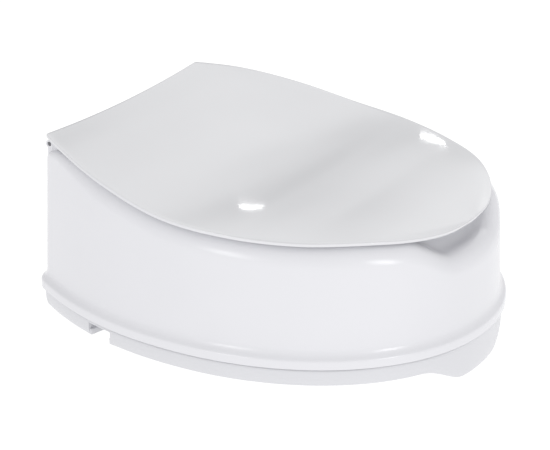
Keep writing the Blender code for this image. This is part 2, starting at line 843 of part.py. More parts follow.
def channel_rails():
    """Side walls and lips of the channels that the clamps slide in."""
    solids = []
    half = CHANNEL_HALF_WIDTH
    inner, outer = half - CHANNEL_WALL, half + CHANNEL_WALL
    top, lip = LEDGE_TOP - 1 * MM, SKIRT_BOTTOM + LIP_HEIGHT
    outline = [(inner, RAIL_BOTTOM), (outer, RAIL_BOTTOM), (outer, top),
               (half, top), (half, lip), (inner, lip)]
    for side, name in ((-1, "left"), (1, "right")):
        for edge, end in ((-1, "front"), (1, "rear")):
            mirrored = [(edge * across, height) for across, height in outline]
            bm = extruded(mirrored, RAIL_START, CHANNEL_LENGTH)
            rail = object_from_bmesh(f"channel_rail_{name}_{end}", bm, None, parts=False)
            rail.matrix_world = clamp_frame(side)
            solids.append(rail)
    return solids


def extruded(outline, start, end):
    """Solid with an outline of (across, height) points, drawn out along X."""
    bm = bmesh.new()
    verts = [bm.verts.new((start, across, height)) for across, height in outline]
    face = bm.faces.new(verts)
    drawn = bmesh.ops.extrude_face_region(bm, geom=[face])
    moved = [item for item in drawn["geom"] if isinstance(item, bmesh.types.BMVert)]
    bmesh.ops.translate(bm, verts=moved, vec=(end - start, 0.0, 0.0))
    bmesh.ops.recalc_face_normals(bm, faces=bm.faces)
    return bm


def screw_webs():
    """Walls across the channels that hold the clamp screws."""
    bm = bmesh.new()
    for side in (-1, 1):
        add_box(bm, (WEB[0], -CHANNEL_HALF_WIDTH - 1 * MM, RAIL_BOTTOM + 0.4 * MM),
                (WEB[1], CHANNEL_HALF_WIDTH + 1 * MM, LEDGE_TOP - 1.5 * MM), clamp_frame(side))
    return object_from_bmesh("screw_webs", bm, None, parts=False)


def pad_frames():
    """Frame of every bowl pad, X along the ring, with its name."""
    frames = []
    for x, y, place in PAD_SPOTS:
        for side, side_name in ((-1, "left"), (1, "right")):
            turn = math.atan2(y / HALF_LENGTH * HALF_WIDTH, side * x) + math.pi / 2
            frame = Matrix.Translation((side * x, y, 0.0)) @ Matrix.Rotation(turn, 4, "Z")
            frames.append((frame, f"{place}_{side_name}"))
    return frames


def pad_seats():
    bm = bmesh.new()
    length, width = PAD_SEAT_SIZE
    for frame, _ in pad_frames():
        add_box(bm, (-length / 2, -width / 2, SKIRT_BOTTOM + PAD_SIZE[2]),
                (length / 2, width / 2, LEDGE_TOP - 2 * MM), frame)
    return object_from_bmesh("pad_seats", bm, None, parts=False)


def web_bores():
    """Holes in the channels' webs for the clamp screws' bushes."""
    bm = bmesh.new()
    for side in (-1, 1):
        frame = clamp_frame(side)
        start = frame @ Vector((WEB[0] - 1 * MM, 0.0, SCREW_AXIS_Z))
        end = frame @ Vector((WEB[1] + 1 * MM, 0.0, SCREW_AXIS_Z))
        add_cylinder(bm, CLAMP_SCREW_RADIUS + 1.4 * MM + GAP, start, end)
    return object_from_bmesh("web_bores", bm, None, parts=False)


def build_base_ring():
    bm = loft(base_ring_loops())
    base = object_from_bmesh("base_ring", bm, white_plastic("base_ring"))
    solidify(base, BASE_WALL)
    boolean(base, notch_cutters(), "DIFFERENCE")
    for part in (*channel_rails(), screw_webs(), pad_seats()):
        boolean(base, part, "UNION")
    boolean(base, screw_bores("ledge_bores", LEDGE_TOP + 1 * MM), "DIFFERENCE")
    boolean(base, web_bores(), "DIFFERENCE")
    shade(base)


def build_bowl_pads():
    mat = rubber("bowl_pad_rubber")
    length, width, height = PAD_SIZE
    for frame, name in pad_frames():
        pad = box_object(f"bowl_pad_{name}", (-length / 2, -width / 2, 0.0),
                         (length / 2, width / 2, height - GAP), mat)
        pad.matrix_world = Matrix.Translation((0.0, 0.0, SKIRT_BOTTOM)) @ frame
        bevel = pad.modifiers.new("corners", "BEVEL")
        bevel.width = 3 * MM
        bevel.segments = 2
        bevel.affect = "EDGES"
        bevel.limit_method = "WEIGHT"
        weights = pad.data.attributes.new("bevel_weight_edge", "FLOAT", "EDGE")
        for edge in pad.data.edges:
            ends = [pad.data.vertices[i].co for i in edge.vertices]
            weights.data[edge.index].value = 1.0 if (ends[0] - ends[1]).xy.length < MM else 0.0


def build_base_screws():
    mat = steel("base_screw")
    for place, name in screw_places():
        under = LEDGE_TOP - BASE_WALL - GAP
        head, shank = SCREW_HEAD, SCREW_SHANK
        profile = [(0.0, SCREW_LENGTH), (0.5 * shank, SCREW_LENGTH), (shank, SCREW_LENGTH - 2 * MM),
                   (shank, 0.0), (head, 0.0), (0.8 * head, -SCREW_HEAD_HEIGHT), (0.0, -SCREW_HEAD_HEIGHT)]
        screw = turned(f"base_screw_{name}", profile, mat, steps=SCREW_STEPS)
        screw.location = (place.x, place.y, under)


# ---------------------------------------------------------------- side clamps

def slider_outline():
    """Section of the slider's runner: wide above the lips, narrow between them."""
    wide = CHANNEL_HALF_WIDTH - GAP
    narrow = CHANNEL_HALF_WIDTH - CHANNEL_WALL - GAP
    top = LEDGE_TOP - BASE_WALL - 2 * GAP
    lip = SKIRT_BOTTOM + LIP_HEIGHT + GAP
    foot = SKIRT_BOTTOM - 1.2 * MM
    return [(-narrow, foot), (narrow, foot), (narrow, lip), (wide, lip), (wide, top),
            (-wide, top), (-wide, lip), (-narrow, lip)]


def build_slider(name, frame):
    """Runner with the jaw that hangs down inside the bowl's rim."""
    bm = extruded(slider_outline(), *SLIDER)
    slider = object_from_bmesh(f"clamp_slider_{name}", bm, nylon("clamp_slider"))
    jaw = box_object(f"jaw_{name}", (JAW[0], -JAW_HALF_WIDTH, 0.0),
                     (JAW[1], JAW_HALF_WIDTH, SKIRT_BOTTOM - GAP), None, parts=False)
    bm = bmesh.new()
    add_cylinder(bm, CLAMP_SCREW_RADIUS + GAP, (SLIDER[0] - 1 * MM, 0, SCREW_AXIS_Z),
                 (SLIDER[1] + 1 * MM, 0, SCREW_AXIS_Z))
    bore = object_from_bmesh(f"slider_bore_{name}", bm, None, parts=False)
    bm = bmesh.new()
    add_cylinder(bm, NUT_RADIUS + GAP, (SLIDER[0] - 1 * MM, 0, SCREW_AXIS_Z),
                 (NUT[1] + GAP, 0, SCREW_AXIS_Z))
    pocket = object_from_bmesh(f"nut_pocket_{name}", bm, None, parts=False)
    for obj in (slider, jaw, bore, pocket):
        obj.matrix_world = frame
    boolean(slider, jaw, "UNION")
    boolean(slider, bore, "DIFFERENCE")
    boolean(slider, pocket, "DIFFERENCE")
    shade(slider)


def build_clamp_screw(name, frame):
    """Captive screw with a slotted head, turned through the mouth of the channel."""
    head, shank = CLAMP_HEAD_RADIUS, CLAMP_SCREW_RADIUS
    length = CLAMP_SCREW_END - CLAMP_HEAD[0]
    neck = CLAMP_HEAD[1] - CLAMP_HEAD[0]
    profile = [(0.0, length), (shank - 1 * MM, length), (shank, length - 1 * MM), (shank, neck),
               (head, neck), (head, 0.8 * MM), (head - 0.8 * MM, 0.0), (0.0, 0.0)]
    screw = turned(f"clamp_screw_{name}", profile, steel("clamp_screw"))
    along = Matrix.Rotation(math.radians(90), 4, "Y")
    screw.matrix_world = frame @ Matrix.Translation((CLAMP_HEAD[0], 0.0, SCREW_AXIS_Z)) @ along
    half, depth = SLOT_HALF_WIDTH, SLOT_DEPTH
    slot = box_object(f"screw_slot_{name}", (-2 * head, -half, -depth), (2 * head, half, depth),
                      None, parts=False)
    slot.matrix_world = screw.matrix_world
    boolean(screw, slot, "DIFFERENCE")


def build_clamp_rings(name, frame):
    """Bearing bush, thrust washer, retaining ring and nut on the clamp screw."""
    along = Matrix.Rotation(math.radians(90), 4, "Y")
    bore = CLAMP_SCREW_RADIUS + GAP
    rings = (
        ("clamp_bush", bore + 1.1 * MM, (WEB[0] + 0.2 * MM, WEB[1] - 0.2 * MM), nylon),
        ("clamp_washer", 5.6 * MM, (CLAMP_HEAD[1] + GAP, WEB[0] - GAP), steel),
        ("clamp_retainer", 5.2 * MM, (WEB[1] + GAP, WEB[1] + 1.7 * MM), steel),
        ("clamp_nut", NUT_RADIUS, NUT, brass),
    )
    for part, outer, (start, end), finish in rings:
        obj = ring(f"{part}_{name}", bore, outer, end - start, finish(part))
        obj.matrix_world = frame @ Matrix.Translation((start, 0.0, SCREW_AXIS_Z)) @ along


def build_jaw_pad(name, frame):
    half = JAW_HALF_WIDTH - 2 * MM
    pad = box_object(f"clamp_jaw_pad_{name}", (JAW_PAD[0], -half, 2 * MM),
                     (JAW_PAD[1], half, SKIRT_BOTTOM - 4 * MM), rubber("jaw_pad_rubber"))
    pad.matrix_world = frame


def build_clamps():
    for side, name in ((-1, "left"), (1, "right")):
        frame = clamp_frame(side)
        build_slider(name, frame)
        build_clamp_screw(name, frame)
        build_clamp_rings(name, frame)
        build_jaw_pad(name, frame)


clear_scene()
new_collection(PARTS)
new_collection(CUTTERS)
build_seat_shell()
build_lid_panel()
build_buffers()
build_hinge()
hang_on_hinge(LID_PIECES)
build_base_ring()
build_bowl_pads()
build_base_screws()
build_clamps()
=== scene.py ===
"""Looks of the raised toilet seat: fine shells, real fasteners, materials, light and camera."""

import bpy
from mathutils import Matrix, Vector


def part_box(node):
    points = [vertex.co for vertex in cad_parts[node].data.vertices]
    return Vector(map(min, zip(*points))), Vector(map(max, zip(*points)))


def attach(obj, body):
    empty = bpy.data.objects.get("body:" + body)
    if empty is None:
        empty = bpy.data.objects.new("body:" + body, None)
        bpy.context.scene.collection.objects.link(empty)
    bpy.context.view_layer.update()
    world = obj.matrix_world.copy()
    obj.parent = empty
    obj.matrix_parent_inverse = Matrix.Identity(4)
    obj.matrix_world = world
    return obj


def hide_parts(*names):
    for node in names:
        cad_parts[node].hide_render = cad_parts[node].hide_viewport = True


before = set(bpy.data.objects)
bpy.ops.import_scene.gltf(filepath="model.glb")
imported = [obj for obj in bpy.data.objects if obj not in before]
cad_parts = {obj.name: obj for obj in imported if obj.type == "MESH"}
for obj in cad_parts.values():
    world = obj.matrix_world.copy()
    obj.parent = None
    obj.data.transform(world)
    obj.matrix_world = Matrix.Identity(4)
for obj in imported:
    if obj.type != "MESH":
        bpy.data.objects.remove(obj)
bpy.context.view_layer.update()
CAD_BOX = {node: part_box(node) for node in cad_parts}

import math

import bmesh
import bpy
from mathutils import Matrix, Vector

MM = 0.001
GAP = 0.3 * MM

# Plan outline of the seat's outer wall, at its foot.
HALF_WIDTH = 190.0 * MM
HALF_LENGTH = 211.1 * MM
WIDEST_Y = 25.0 * MM
REAR_HALF_WIDTH = 136.6 * MM
SIDE_POWER = 2.14
FRONT_POWER = 2.08
WALL_CORNER = 24.0 * MM
LID_CORNER = 12.0 * MM

# Steps along half of the outline: rear wall, corner, side, front.
REAR_STEPS = 16
CORNER_STEPS = 12
SIDE_STEPS = 44
FRONT_STEPS = 84

# Seat shell.
WALL = 3.0 * MM
FLANGE_REACH = 6.5 * MM
FLANGE_BOTTOM = 38.5 * MM
FLANGE_FACE_TOP = 45.6 * MM
BEAD_RADIUS = 3.2 * MM
COVE_RADIUS = 9.8 * MM
COVE_TURN = math.radians(60)
COVE_TOP = FLANGE_FACE_TOP + (BEAD_RADIUS + COVE_RADIUS) * math.sin(COVE_TURN)
DRAFT = 0.0457
DRAFT_FOOT = 62.6 * MM
EDGE_ROUND = 20.0 * MM
REAR_EDGE_ROUND = 8.0 * MM
SEAT_FALL = 14.0 * MM
SEAT_FALL_POWER = 1.25
INNER_WALL_BOTTOM = 38.0 * MM
INNER_WALL_TAPER = 4.0 * MM

# Finger recess.
RECESS_HALF_WIDTH = 98.0 * MM
RECESS_RAMP = 58.0 * MM
RECESS_DEPTH = 20.0 * MM
RECESS_BACK = -162.0 * MM
RECESS_FADE = 34.0 * MM

# Aperture.
APERTURE_HALF_WIDTH = 104.0 * MM
APERTURE_FRONT = -150.0 * MM
APERTURE_REAR = 122.0 * MM
APERTURE_ROUND = 12.0 * MM
ROLL_START = math.radians(20)

# Lid: edge height and inset, dish at its middle and halfway out, at stations along Y.
LID_EDGE_HEIGHT = (
    (-0.2111, 0.1495), (-0.1566, 0.1575), (-0.0966, 0.1590), (-0.0366, 0.1622),
    (0.0334, 0.1685), (0.1034, 0.1826), (0.1634, 0.1942), (0.2111, 0.1997),
)
LID_EDGE_INSET = (
    (-0.2111, 0.0134), (-0.1166, 0.0085), (0.0034, 0.0028), (0.1034, 0.0045), (0.2111, 0.0072),
)
LID_DISH = (
    (-0.2111, -0.0008), (-0.1566, 0.0004), (-0.1100, -0.0007), (-0.0700, -0.0012),
    (-0.0400, -0.0005), (-0.0100, 0.0014), (0.0250, 0.0028), (0.0600, 0.0047), (0.1100, 0.0047),
    (0.1600, 0.0058), (0.2111, 0.0050),
)
LID_WAIST = (
    (-0.2111, -0.0006), (-0.1566, -0.0005), (-0.1100, -0.0011), (-0.0700, -0.0012),
    (-0.0400, -0.0006), (-0.0100, -0.0002), (0.0250, 0.0006), (0.0600, 0.0), (0.1100, -0.0003),
    (0.1600, 0.0), (0.2111, 0.0),
)
LID_THICKNESS = 3.2 * MM

# Height of the seat rim below the lid edge.
RIM_BELOW_LID = (
    (-0.2111, 0.0046), (-0.1500, 0.0044), (-0.0700, 0.0046), (0.0000, 0.0056), (0.0700, 0.0069),
    (0.1300, 0.0074), (0.1700, 0.0080), (0.1900, 0.0102), (0.2111, 0.0176),
)

# Base ring.
FOOT_TUCK = 1.4 * MM
FOOT_HEIGHT = 9.0 * MM
BASE_WALL = 3.0 * MM
SKIRT_REACH = 2.9 * MM
SKIRT_BOTTOM = 20.0 * MM
LEDGE_TOP = 37.0 * MM
LEDGE_ROUND = 2.5 * MM
APRON_FLAT = 30.0 * MM
APRON_END = 85.0 * MM
APRON_TAPER = 1.0 * MM
COLLAR_BOTTOM = 5.0 * MM
COLLAR_INSET = INNER_WALL_TAPER + 1.0 * MM
COLLAR_TAPER = 9.0 * MM

# Bowl pads, screws and the clamp channels in the base ring.
PAD_SIZE = (44.0 * MM, 16.0 * MM, 2.7 * MM)
PAD_SEAT_SIZE = (50.0 * MM, 22.0 * MM)
PAD_SPOTS = (
    (0.118, -0.125, "front"),
    (0.147, -0.010, "side"),
    (0.085, 0.165, "rear"),
)
BOSS_RADIUS = 5.0 * MM
BOSS_TOP = 78.0 * MM
SCREW_RADIUS = 1.9 * MM
SCREW_HEAD = 3.8 * MM
SCREW_HEAD_HEIGHT = 2.4 * MM
SCREW_LENGTH = 22.0 * MM
NOTCH_Y = 111.0 * MM
NOTCH_HALF_WIDTH = 16.0 * MM
CHANNEL_HALF_WIDTH = 16.5 * MM
CHANNEL_WALL = 3.0 * MM
CHANNEL_LENGTH = 93.0 * MM
LIP_HEIGHT = 6.0 * MM
RAIL_BOTTOM = SKIRT_BOTTOM + 0.2 * MM
RAIL_START = 1.5 * MM
WEB = (30.0 * MM, 34.0 * MM)
SCREW_AXIS_Z = 27.0 * MM
SLIDER = (48.5 * MM, 78.5 * MM)
JAW = (52.5 * MM, 76.0 * MM)
JAW_HALF_WIDTH = 20.0 * MM
JAW_HOLLOWS = (-14.0 * MM, -4.7 * MM, 4.7 * MM, 14.0 * MM)
JAW_PAD = (49.5 * MM, 52.2 * MM)
CLAMP_SCREW_RADIUS = 3.0 * MM
CLAMP_HEAD = (22.5 * MM, 28.9 * MM)
CLAMP_HEAD_RADIUS = 5.5 * MM
CLAMP_SCREW_END = 76.0 * MM
NUT_END = 57.0 * MM
NUT_RADIUS = 4.8 * MM

# Lid hinge and buffers.
HINGE_Y = 199.4 * MM
HINGE_Z = 190.4 * MM
LUG_OUTER = 134.0 * MM
LUG_INNER = 128.3 * MM
LUG_RADIUS = 4.0 * MM
LUG_FOOT = 168.0 * MM
LUG_BACK = 2.0 * MM
GUSSET_FRONT = 181.0 * MM
GUSSET_FOOT = 176.0 * MM
GUSSET_GAP = 1.2 * MM
KNUCKLE_OUTER = 128.0 * MM
KNUCKLE_INNER = 114.0 * MM
KNUCKLE_RADIUS = 5.0 * MM
KNUCKLE_BACK = 4.0 * MM
KNUCKLE_RISE = 5.4 * MM
PIN_RADIUS = 2.0 * MM
PIN_INNER = 113.5 * MM
BUSH_RADIUS = 3.2 * MM
BUFFER_SPOTS = ((0.138, -0.070), (0.128, 0.055))
BUFFER_RADIUS = 6.0 * MM
BUFFER_SEAT_RADIUS = 7.5 * MM
BUFFER_SEAT_DEPTH = 1.6 * MM

SIDES = ((-1, "left"), (1, "right"))

# Colours of the three white mouldings. The base ring's white is darker than the shell's: painted
# shade for the skirt, which sits in shade under the flange.
SHELL_WHITE = (0.735, 0.735, 0.765)
LID_WHITE = (0.725, 0.728, 0.748)
BASE_WHITE_WITH_PAINTED_SHADE = (0.67, 0.672, 0.70)

# Camera.
VIEW_AZIMUTH = math.radians(-58.72)
VIEW_ELEVATION = math.radians(22.99)
VIEW_DISTANCE = 1.962
VIEW_SHIFT_RIGHT = -16.04 * MM
VIEW_SHIFT_UP = 72.49 * MM
VIEW_ORIGIN = Vector((0.0, 3.4 * MM, 20.0 * MM))
LENS = 125.9

# Studio: even light, and cards as azimuth from +X, elevation, width, height, added light.
STUDIO_LIGHT = 0.82
STUDIO_CARDS = (
    (36.5, 18.0, 0.23, 0.16, -0.90),
    (6.0, 26.5, 0.33, 0.15, 1.20),
    (24.5, 35.0, 0.58, 0.23, 0.78),
    (-25.0, 20.0, 0.40, 0.20, 0.20),
    (80.0, 22.0, 0.40, 0.30, -0.10),
)

# Softboxes left (-1) and right (1) of the camera: direction, distance, size and power.
SOFTBOX_ASIDE = 0.58
SOFTBOX_DROP = 0.06
SOFTBOX_BACK = 0.81
SOFTBOX_DISTANCE = 2.2
SOFTBOX_SIZE = (0.5, 0.7)
SOFTBOX_POWERS = {-1: 4.5, 1: 7.0}

# Small round lamps behind the seat that glint on the lid: place, spot, size, power.
GLINT_LAMPS = (
    ((0.061, 0.084, 0.248), (-0.113, -0.022, 0.163), (0.026, 0.0035), 0.003),
    ((0.325, -0.002, 0.229), (0.148, -0.077, 0.161), (0.032, 0.011), 0.010),
)


# ---------- curves in plan

def curve_through(stations, y):
    """Smooth curve through (y, value) stations, held flat past its ends."""
    y = min(max(y, stations[0][0]), stations[-1][0])
    last = len(stations) - 1
    index = next(i for i in range(last) if y <= stations[i + 1][0])

    def slope(i):
        low, high = stations[max(i - 1, 0)], stations[min(i + 1, last)]
        return (high[1] - low[1]) / (high[0] - low[0])

    (y0, v0), (y1, v1) = stations[index], stations[index + 1]
    span = y1 - y0
    t = (y - y0) / span
    return ((2 * t**3 - 3 * t**2 + 1) * v0 + (t**3 - 2 * t**2 + t) * span * slope(index)
            + (3 * t**2 - 2 * t**3) * v1 + (t**3 - t**2) * span * slope(index + 1))


def smooth_step(t):
    t = min(max(t, 0.0), 1.0)
    return t * t * (3 - 2 * t)


def side_x(y):
    reach = (y - WIDEST_Y) / (HALF_LENGTH - WIDEST_Y)
    return HALF_WIDTH - (HALF_WIDTH - REAR_HALF_WIDTH) * reach**SIDE_POWER


def side_slope(y):
    length = HALF_LENGTH - WIDEST_Y
    reach = (y - WIDEST_Y) / length
    narrowing = HALF_WIDTH - REAR_HALF_WIDTH
    return -narrowing * SIDE_POWER * reach ** (SIDE_POWER - 1) / length


def half_outline(corner_radius):
    """Right half of the wall outline, from the rear middle to the front middle."""
    corner = Vector((REAR_HALF_WIDTH, HALF_LENGTH))
    along_side = Vector((-side_slope(HALF_LENGTH), -1.0)).normalized()
    along_rear = Vector((-1.0, 0.0))
    trim = corner_radius / math.tan(along_rear.angle(along_side) / 2)
    start = corner + along_rear * trim
    end = corner + along_side * trim
    points = [Vector((start.x * i / REAR_STEPS, HALF_LENGTH)) for i in range(REAR_STEPS)]
    for i in range(CORNER_STEPS):
        t = i / CORNER_STEPS
        points.append((1 - t) ** 2 * start + 2 * t * (1 - t) * corner + t**2 * end)
    for i in range(SIDE_STEPS):
        y = end.y + (WIDEST_Y - end.y) * i / SIDE_STEPS
        points.append(Vector((side_x(y), y)))
    for i in range(FRONT_STEPS + 1):
        turn = math.pi / 2 * i / FRONT_STEPS
        x = HALF_WIDTH * max(math.cos(turn), 0.0) ** (2 / FRONT_POWER)
        y = WIDEST_Y - (WIDEST_Y + HALF_LENGTH) * math.sin(turn) ** (2 / FRONT_POWER)
        points.append(Vector((x, y)))
    return points


def full_loop(half):
    """Close a right half that starts and ends on the Y axis with its mirror."""
    left = [Vector((-p.x, p.y)) for p in reversed(half[1:-1])]
    return half + left


def outward_normals(loop):
    """Unit normals of a loop that runs clockwise as seen from above."""
    normals = []
    for index in range(len(loop)):
        chord = loop[(index + 1) % len(loop)] - loop[index - 1]
        normals.append(Vector((-chord.y, chord.x)).normalized())
    return normals


def aperture_point(wall_point):
    """Point of the aperture outline that faces a point of the wall outline."""
    turn = math.atan2(wall_point.y / HALF_LENGTH, wall_point.x / HALF_WIDTH)
    middle = (APERTURE_FRONT + APERTURE_REAR) / 2
    reach = (APERTURE_REAR - APERTURE_FRONT) / 2
    return Vector((APERTURE_HALF_WIDTH * math.cos(turn), middle + reach * math.sin(turn)))


WALL_LOOP = full_loop(half_outline(WALL_CORNER))
WALL_NORMALS = outward_normals(WALL_LOOP)
LID_LOOP = full_loop(half_outline(LID_CORNER))
LID_NORMALS = outward_normals(LID_LOOP)
APERTURE_LOOP = [aperture_point(p) for p in WALL_LOOP]
APERTURE_NORMALS = outward_normals(APERTURE_LOOP)


def offset_loop(loop, normals, offset):
    return [p + n * offset for p, n in zip(loop, normals)]


def raised(loop, heights):
    """Give a plan loop its heights: one number, or one per point."""
    if isinstance(heights, float):
        heights = [heights] * len(loop)
    return [Vector((p.x, p.y, z)) for p, z in zip(loop, heights)]


# ---------- mesh helpers

def loft(loops):
    """Open surface through closed loops that have the same number of points."""
    bm = bmesh.new()
    rings = [[bm.verts.new(p) for p in loop] for loop in loops]
    count = len(rings[0])
    for lower, upper in zip(rings, rings[1:]):
        for i in range(count):
            j = (i + 1) % count
            bm.faces.new((lower[j], lower[i], upper[i], upper[j]))
    return bm


def closed_ring(loops):
    """Solid ring whose skin runs through all the loops and back to the first."""
    bm = loft(loops + loops[:1])
    bmesh.ops.remove_doubles(bm, verts=bm.verts, dist=0.001 * MM)
    bmesh.ops.recalc_face_normals(bm, faces=bm.faces)
    return bm


def linked(name, data):
    """New object with its data, in the scene."""
    obj = bpy.data.objects.new(name, data)
    bpy.context.scene.collection.objects.link(obj)
    return obj


def new_piece(name, bm, mat=None):
    mesh = bpy.data.meshes.new(name)
    bm.to_mesh(mesh)
    bm.free()
    obj = linked(name, mesh)
    if mat:
        mesh.materials.append(mat)
    return obj


def solidify(obj, thickness):
    modifier = obj.modifiers.new("thickness", "SOLIDIFY")
    modifier.thickness = thickness
    modifier.offset = -1.0
    modifier.use_even_offset = True


def bevel(obj, width, segments=3, angle=50):
    modifier = obj.modifiers.new("rounding", "BEVEL")
    modifier.width = width
    modifier.segments = segments
    modifier.limit_method = "ANGLE"
    modifier.angle_limit = math.radians(angle)
    modifier.miter_outer = "MITER_ARC"


def boolean(obj, other, operation):
    modifier = obj.modifiers.new(operation.lower(), "BOOLEAN")
    modifier.object = other
    modifier.operation = operation
    modifier.solver = "EXACT"


def bake_modifiers(obj, smooth_angle=35):
    """Apply an object's modifiers and shade it smooth up to an angle."""
    graph = bpy.context.evaluated_depsgraph_get()
    mesh = bpy.data.meshes.new_from_object(obj.evaluated_get(graph))
    tools = [m.object for m in obj.modifiers if m.type == "BOOLEAN"]
    obj.modifiers.clear()
    obj.data = mesh
    mesh.shade_smooth()
    mesh.set_sharp_from_angle(angle=math.radians(smooth_angle))
    for tool in tools:
        bpy.data.objects.remove(tool)


def add_box(bm, low, high, place=None):
    low, high = Vector(low), Vector(high)
    size = Matrix.Diagonal((*(high - low), 1.0))
    middle = Matrix.Translation((low + high) / 2)
    bmesh.ops.create_cube(bm, size=1.0, matrix=(place or Matrix()) @ middle @ size)


def add_cylinder(bm, radius, start, end, steps=48):
    start, end = Vector(start), Vector(end)
    turn = (end - start).to_track_quat("Z", "Y").to_matrix().to_4x4()
    place = Matrix.Translation((start + end) / 2) @ turn
    bmesh.ops.create_cone(bm, cap_ends=True, segments=steps, radius1=radius,
                          radius2=radius, depth=(end - start).length, matrix=place)


def rounded(obj, width, segments=2, angle=40):
    """Round an object's edges for good."""
    bevel(obj, width, segments, angle)
    bake_modifiers(obj)


def taken_mesh(obj):
    """Finished mesh of an object that was only a pattern."""
    bake_modifiers(obj, 30)
    mesh = obj.data
    bpy.data.objects.remove(obj)
    return mesh


def finished(piece, body, node):
    """Put a piece that stands for one CAD node on its body, and hide that node."""
    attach(piece, body)
    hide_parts(node)


def merge_doubles(obj):
    """Merge the points that a bevel left on top of each other."""
    bm = bmesh.new()
    bm.from_mesh(obj.data)
    bmesh.ops.remove_doubles(bm, verts=bm.verts, dist=0.01 * MM)
    bm.to_mesh(obj.data)
    bm.free()


def extruded(outline, start, end):
    """Solid with an outline of (across, height) points, drawn out along X."""
    bm = bmesh.new()
    face = bm.faces.new([bm.verts.new((start, across, height)) for across, height in outline])
    drawn = bmesh.ops.extrude_face_region(bm, geom=[face])
    moved = [item for item in drawn["geom"] if isinstance(item, bmesh.types.BMVert)]
    bmesh.ops.translate(bm, verts=moved, vec=(end - start, 0.0, 0.0))
    bmesh.ops.recalc_face_normals(bm, faces=bm.faces)
    return bm


def closed_tube(loops):
    """Solid through closed loops, with flat ends."""
    bm = loft(loops)
    bm.verts.ensure_lookup_table()
    count = len(loops[0])
    bm.faces.new(bm.verts[:count])
    bm.faces.new(bm.verts[-count:])
    bmesh.ops.recalc_face_normals(bm, faces=bm.faces)
    return bm


def round_loops(profile, steps):
    """Circles about Z through (radius, height) points."""
    turns = [2 * math.pi * i / steps for i in range(steps)]
    return [[Vector((radius * math.cos(t), -radius * math.sin(t), height)) for t in turns]
            for radius, height in profile]


def turned(profile, steps, place):
    """Solid of revolution about Z from (radius, height) points, put in its place."""
    bm = closed_tube(round_loops(profile, steps))
    bm.transform(place)
    return bm


def thread_loops(radius, depth, pitch, start, end, steps):
    """Loops of a screw thread whose crest has the given radius."""
    rows = int((end - start) / pitch * 7)
    loops = []
    for row in range(rows + 1):
        height = start + (end - start) * row / rows
        fade = min(1.0, (height - start) / pitch, (end - height) / pitch)
        loop = []
        for i in range(steps):
            turn = 2 * math.pi * i / steps
            phase = (height / pitch + i / steps) % 1.0
            ridge = max(1 - abs(2 * phase - 1) * 1.25, 0.0)
            r = radius - depth + depth * ridge * fade
            loop.append(Vector((r * math.cos(turn), -r * math.sin(turn), height)))
        loops.append(loop)
    return loops


# ---------- materials

class Recipe:
    """A procedural material on a Principled shader, built up from noise patterns."""

    def __init__(self, name, metallic=0.0):
        self.mat = bpy.data.materials.new(name)
        self.mat.use_nodes = True
        self.nodes = self.mat.node_tree.nodes
        self.links = self.mat.node_tree.links
        self.shader = self.nodes["Principled BSDF"]
        self.shader.inputs["Metallic"].default_value = metallic
        self.shader.inputs["IOR"].default_value = 1.5
        self.place = self.nodes.new("ShaderNodeTexCoord").outputs["Object"]

    def noise(self, scale, detail=3.0, place=None):
        node = self.nodes.new("ShaderNodeTexNoise")
        node.inputs["Scale"].default_value = scale
        node.inputs["Detail"].default_value = detail
        self.links.new(place or self.place, node.inputs["Vector"])
        return node.outputs["Fac"]

    def stretched_noise(self, scales):
        node = self.nodes.new("ShaderNodeMapping")
        node.inputs["Scale"].default_value = scales
        self.links.new(self.place, node.inputs["Vector"])
        return self.noise(1.0, place=node.outputs["Vector"])

    def tint(self, pattern, low, high, start=0.3, end=0.7):
        node = self.nodes.new("ShaderNodeValToRGB")
        first, last = node.color_ramp.elements
        first.position, last.position = start, end
        first.color, last.color = (*low, 1.0), (*high, 1.0)
        self.links.new(pattern, node.inputs["Fac"])
        self.links.new(node.outputs["Color"], self.shader.inputs["Base Color"])

    def roughness(self, pattern, low, high):
        node = self.nodes.new("ShaderNodeMapRange")
        node.inputs["From Min"].default_value = 0.35
        node.inputs["From Max"].default_value = 0.75
        node.inputs["To Min"].default_value = low
        node.inputs["To Max"].default_value = high
        self.links.new(pattern, node.inputs["Value"])
        self.links.new(node.outputs["Result"], self.shader.inputs["Roughness"])

    def relief(self, pattern, strength, distance):
        node = self.nodes.new("ShaderNodeBump")
        node.inputs["Strength"].default_value = strength
        node.inputs["Distance"].default_value = distance
        self.links.new(pattern, node.inputs["Height"])
        self.links.new(node.outputs["Normal"], self.shader.inputs["Normal"])


def scaled(color, factor):
    return [c * factor for c in color]


def gloss_plastic(name, color, roughness, ripple=0.02):
    """Moulded gloss plastic: faint mottling, fine orange peel and dull handling marks."""
    recipe = Recipe(name)
    recipe.tint(recipe.noise(9.0), scaled(color, 0.982), color)
    recipe.roughness(recipe.noise(28.0, 5.0), roughness, roughness + 0.06)
    recipe.relief(recipe.noise(420.0, 2.0), ripple, 0.4 * MM)
    return recipe.mat


def natural_nylon(name):
    """Satin nylon: cloudy flow marks, milky edge light and a slightly pebbled skin."""
    recipe = Recipe(name)
    recipe.tint(recipe.noise(60.0, 4.0), (0.66, 0.65, 0.60), (0.78, 0.775, 0.73))
    recipe.roughness(recipe.noise(180.0, 4.0), 0.38, 0.52)
    recipe.relief(recipe.noise(1500.0, 2.0), 0.15, 0.2 * MM)
    recipe.shader.inputs["Subsurface Weight"].default_value = 0.15
    recipe.shader.inputs["Subsurface Radius"].default_value = (2 * MM, 1.8 * MM, 1.5 * MM)
    return recipe.mat


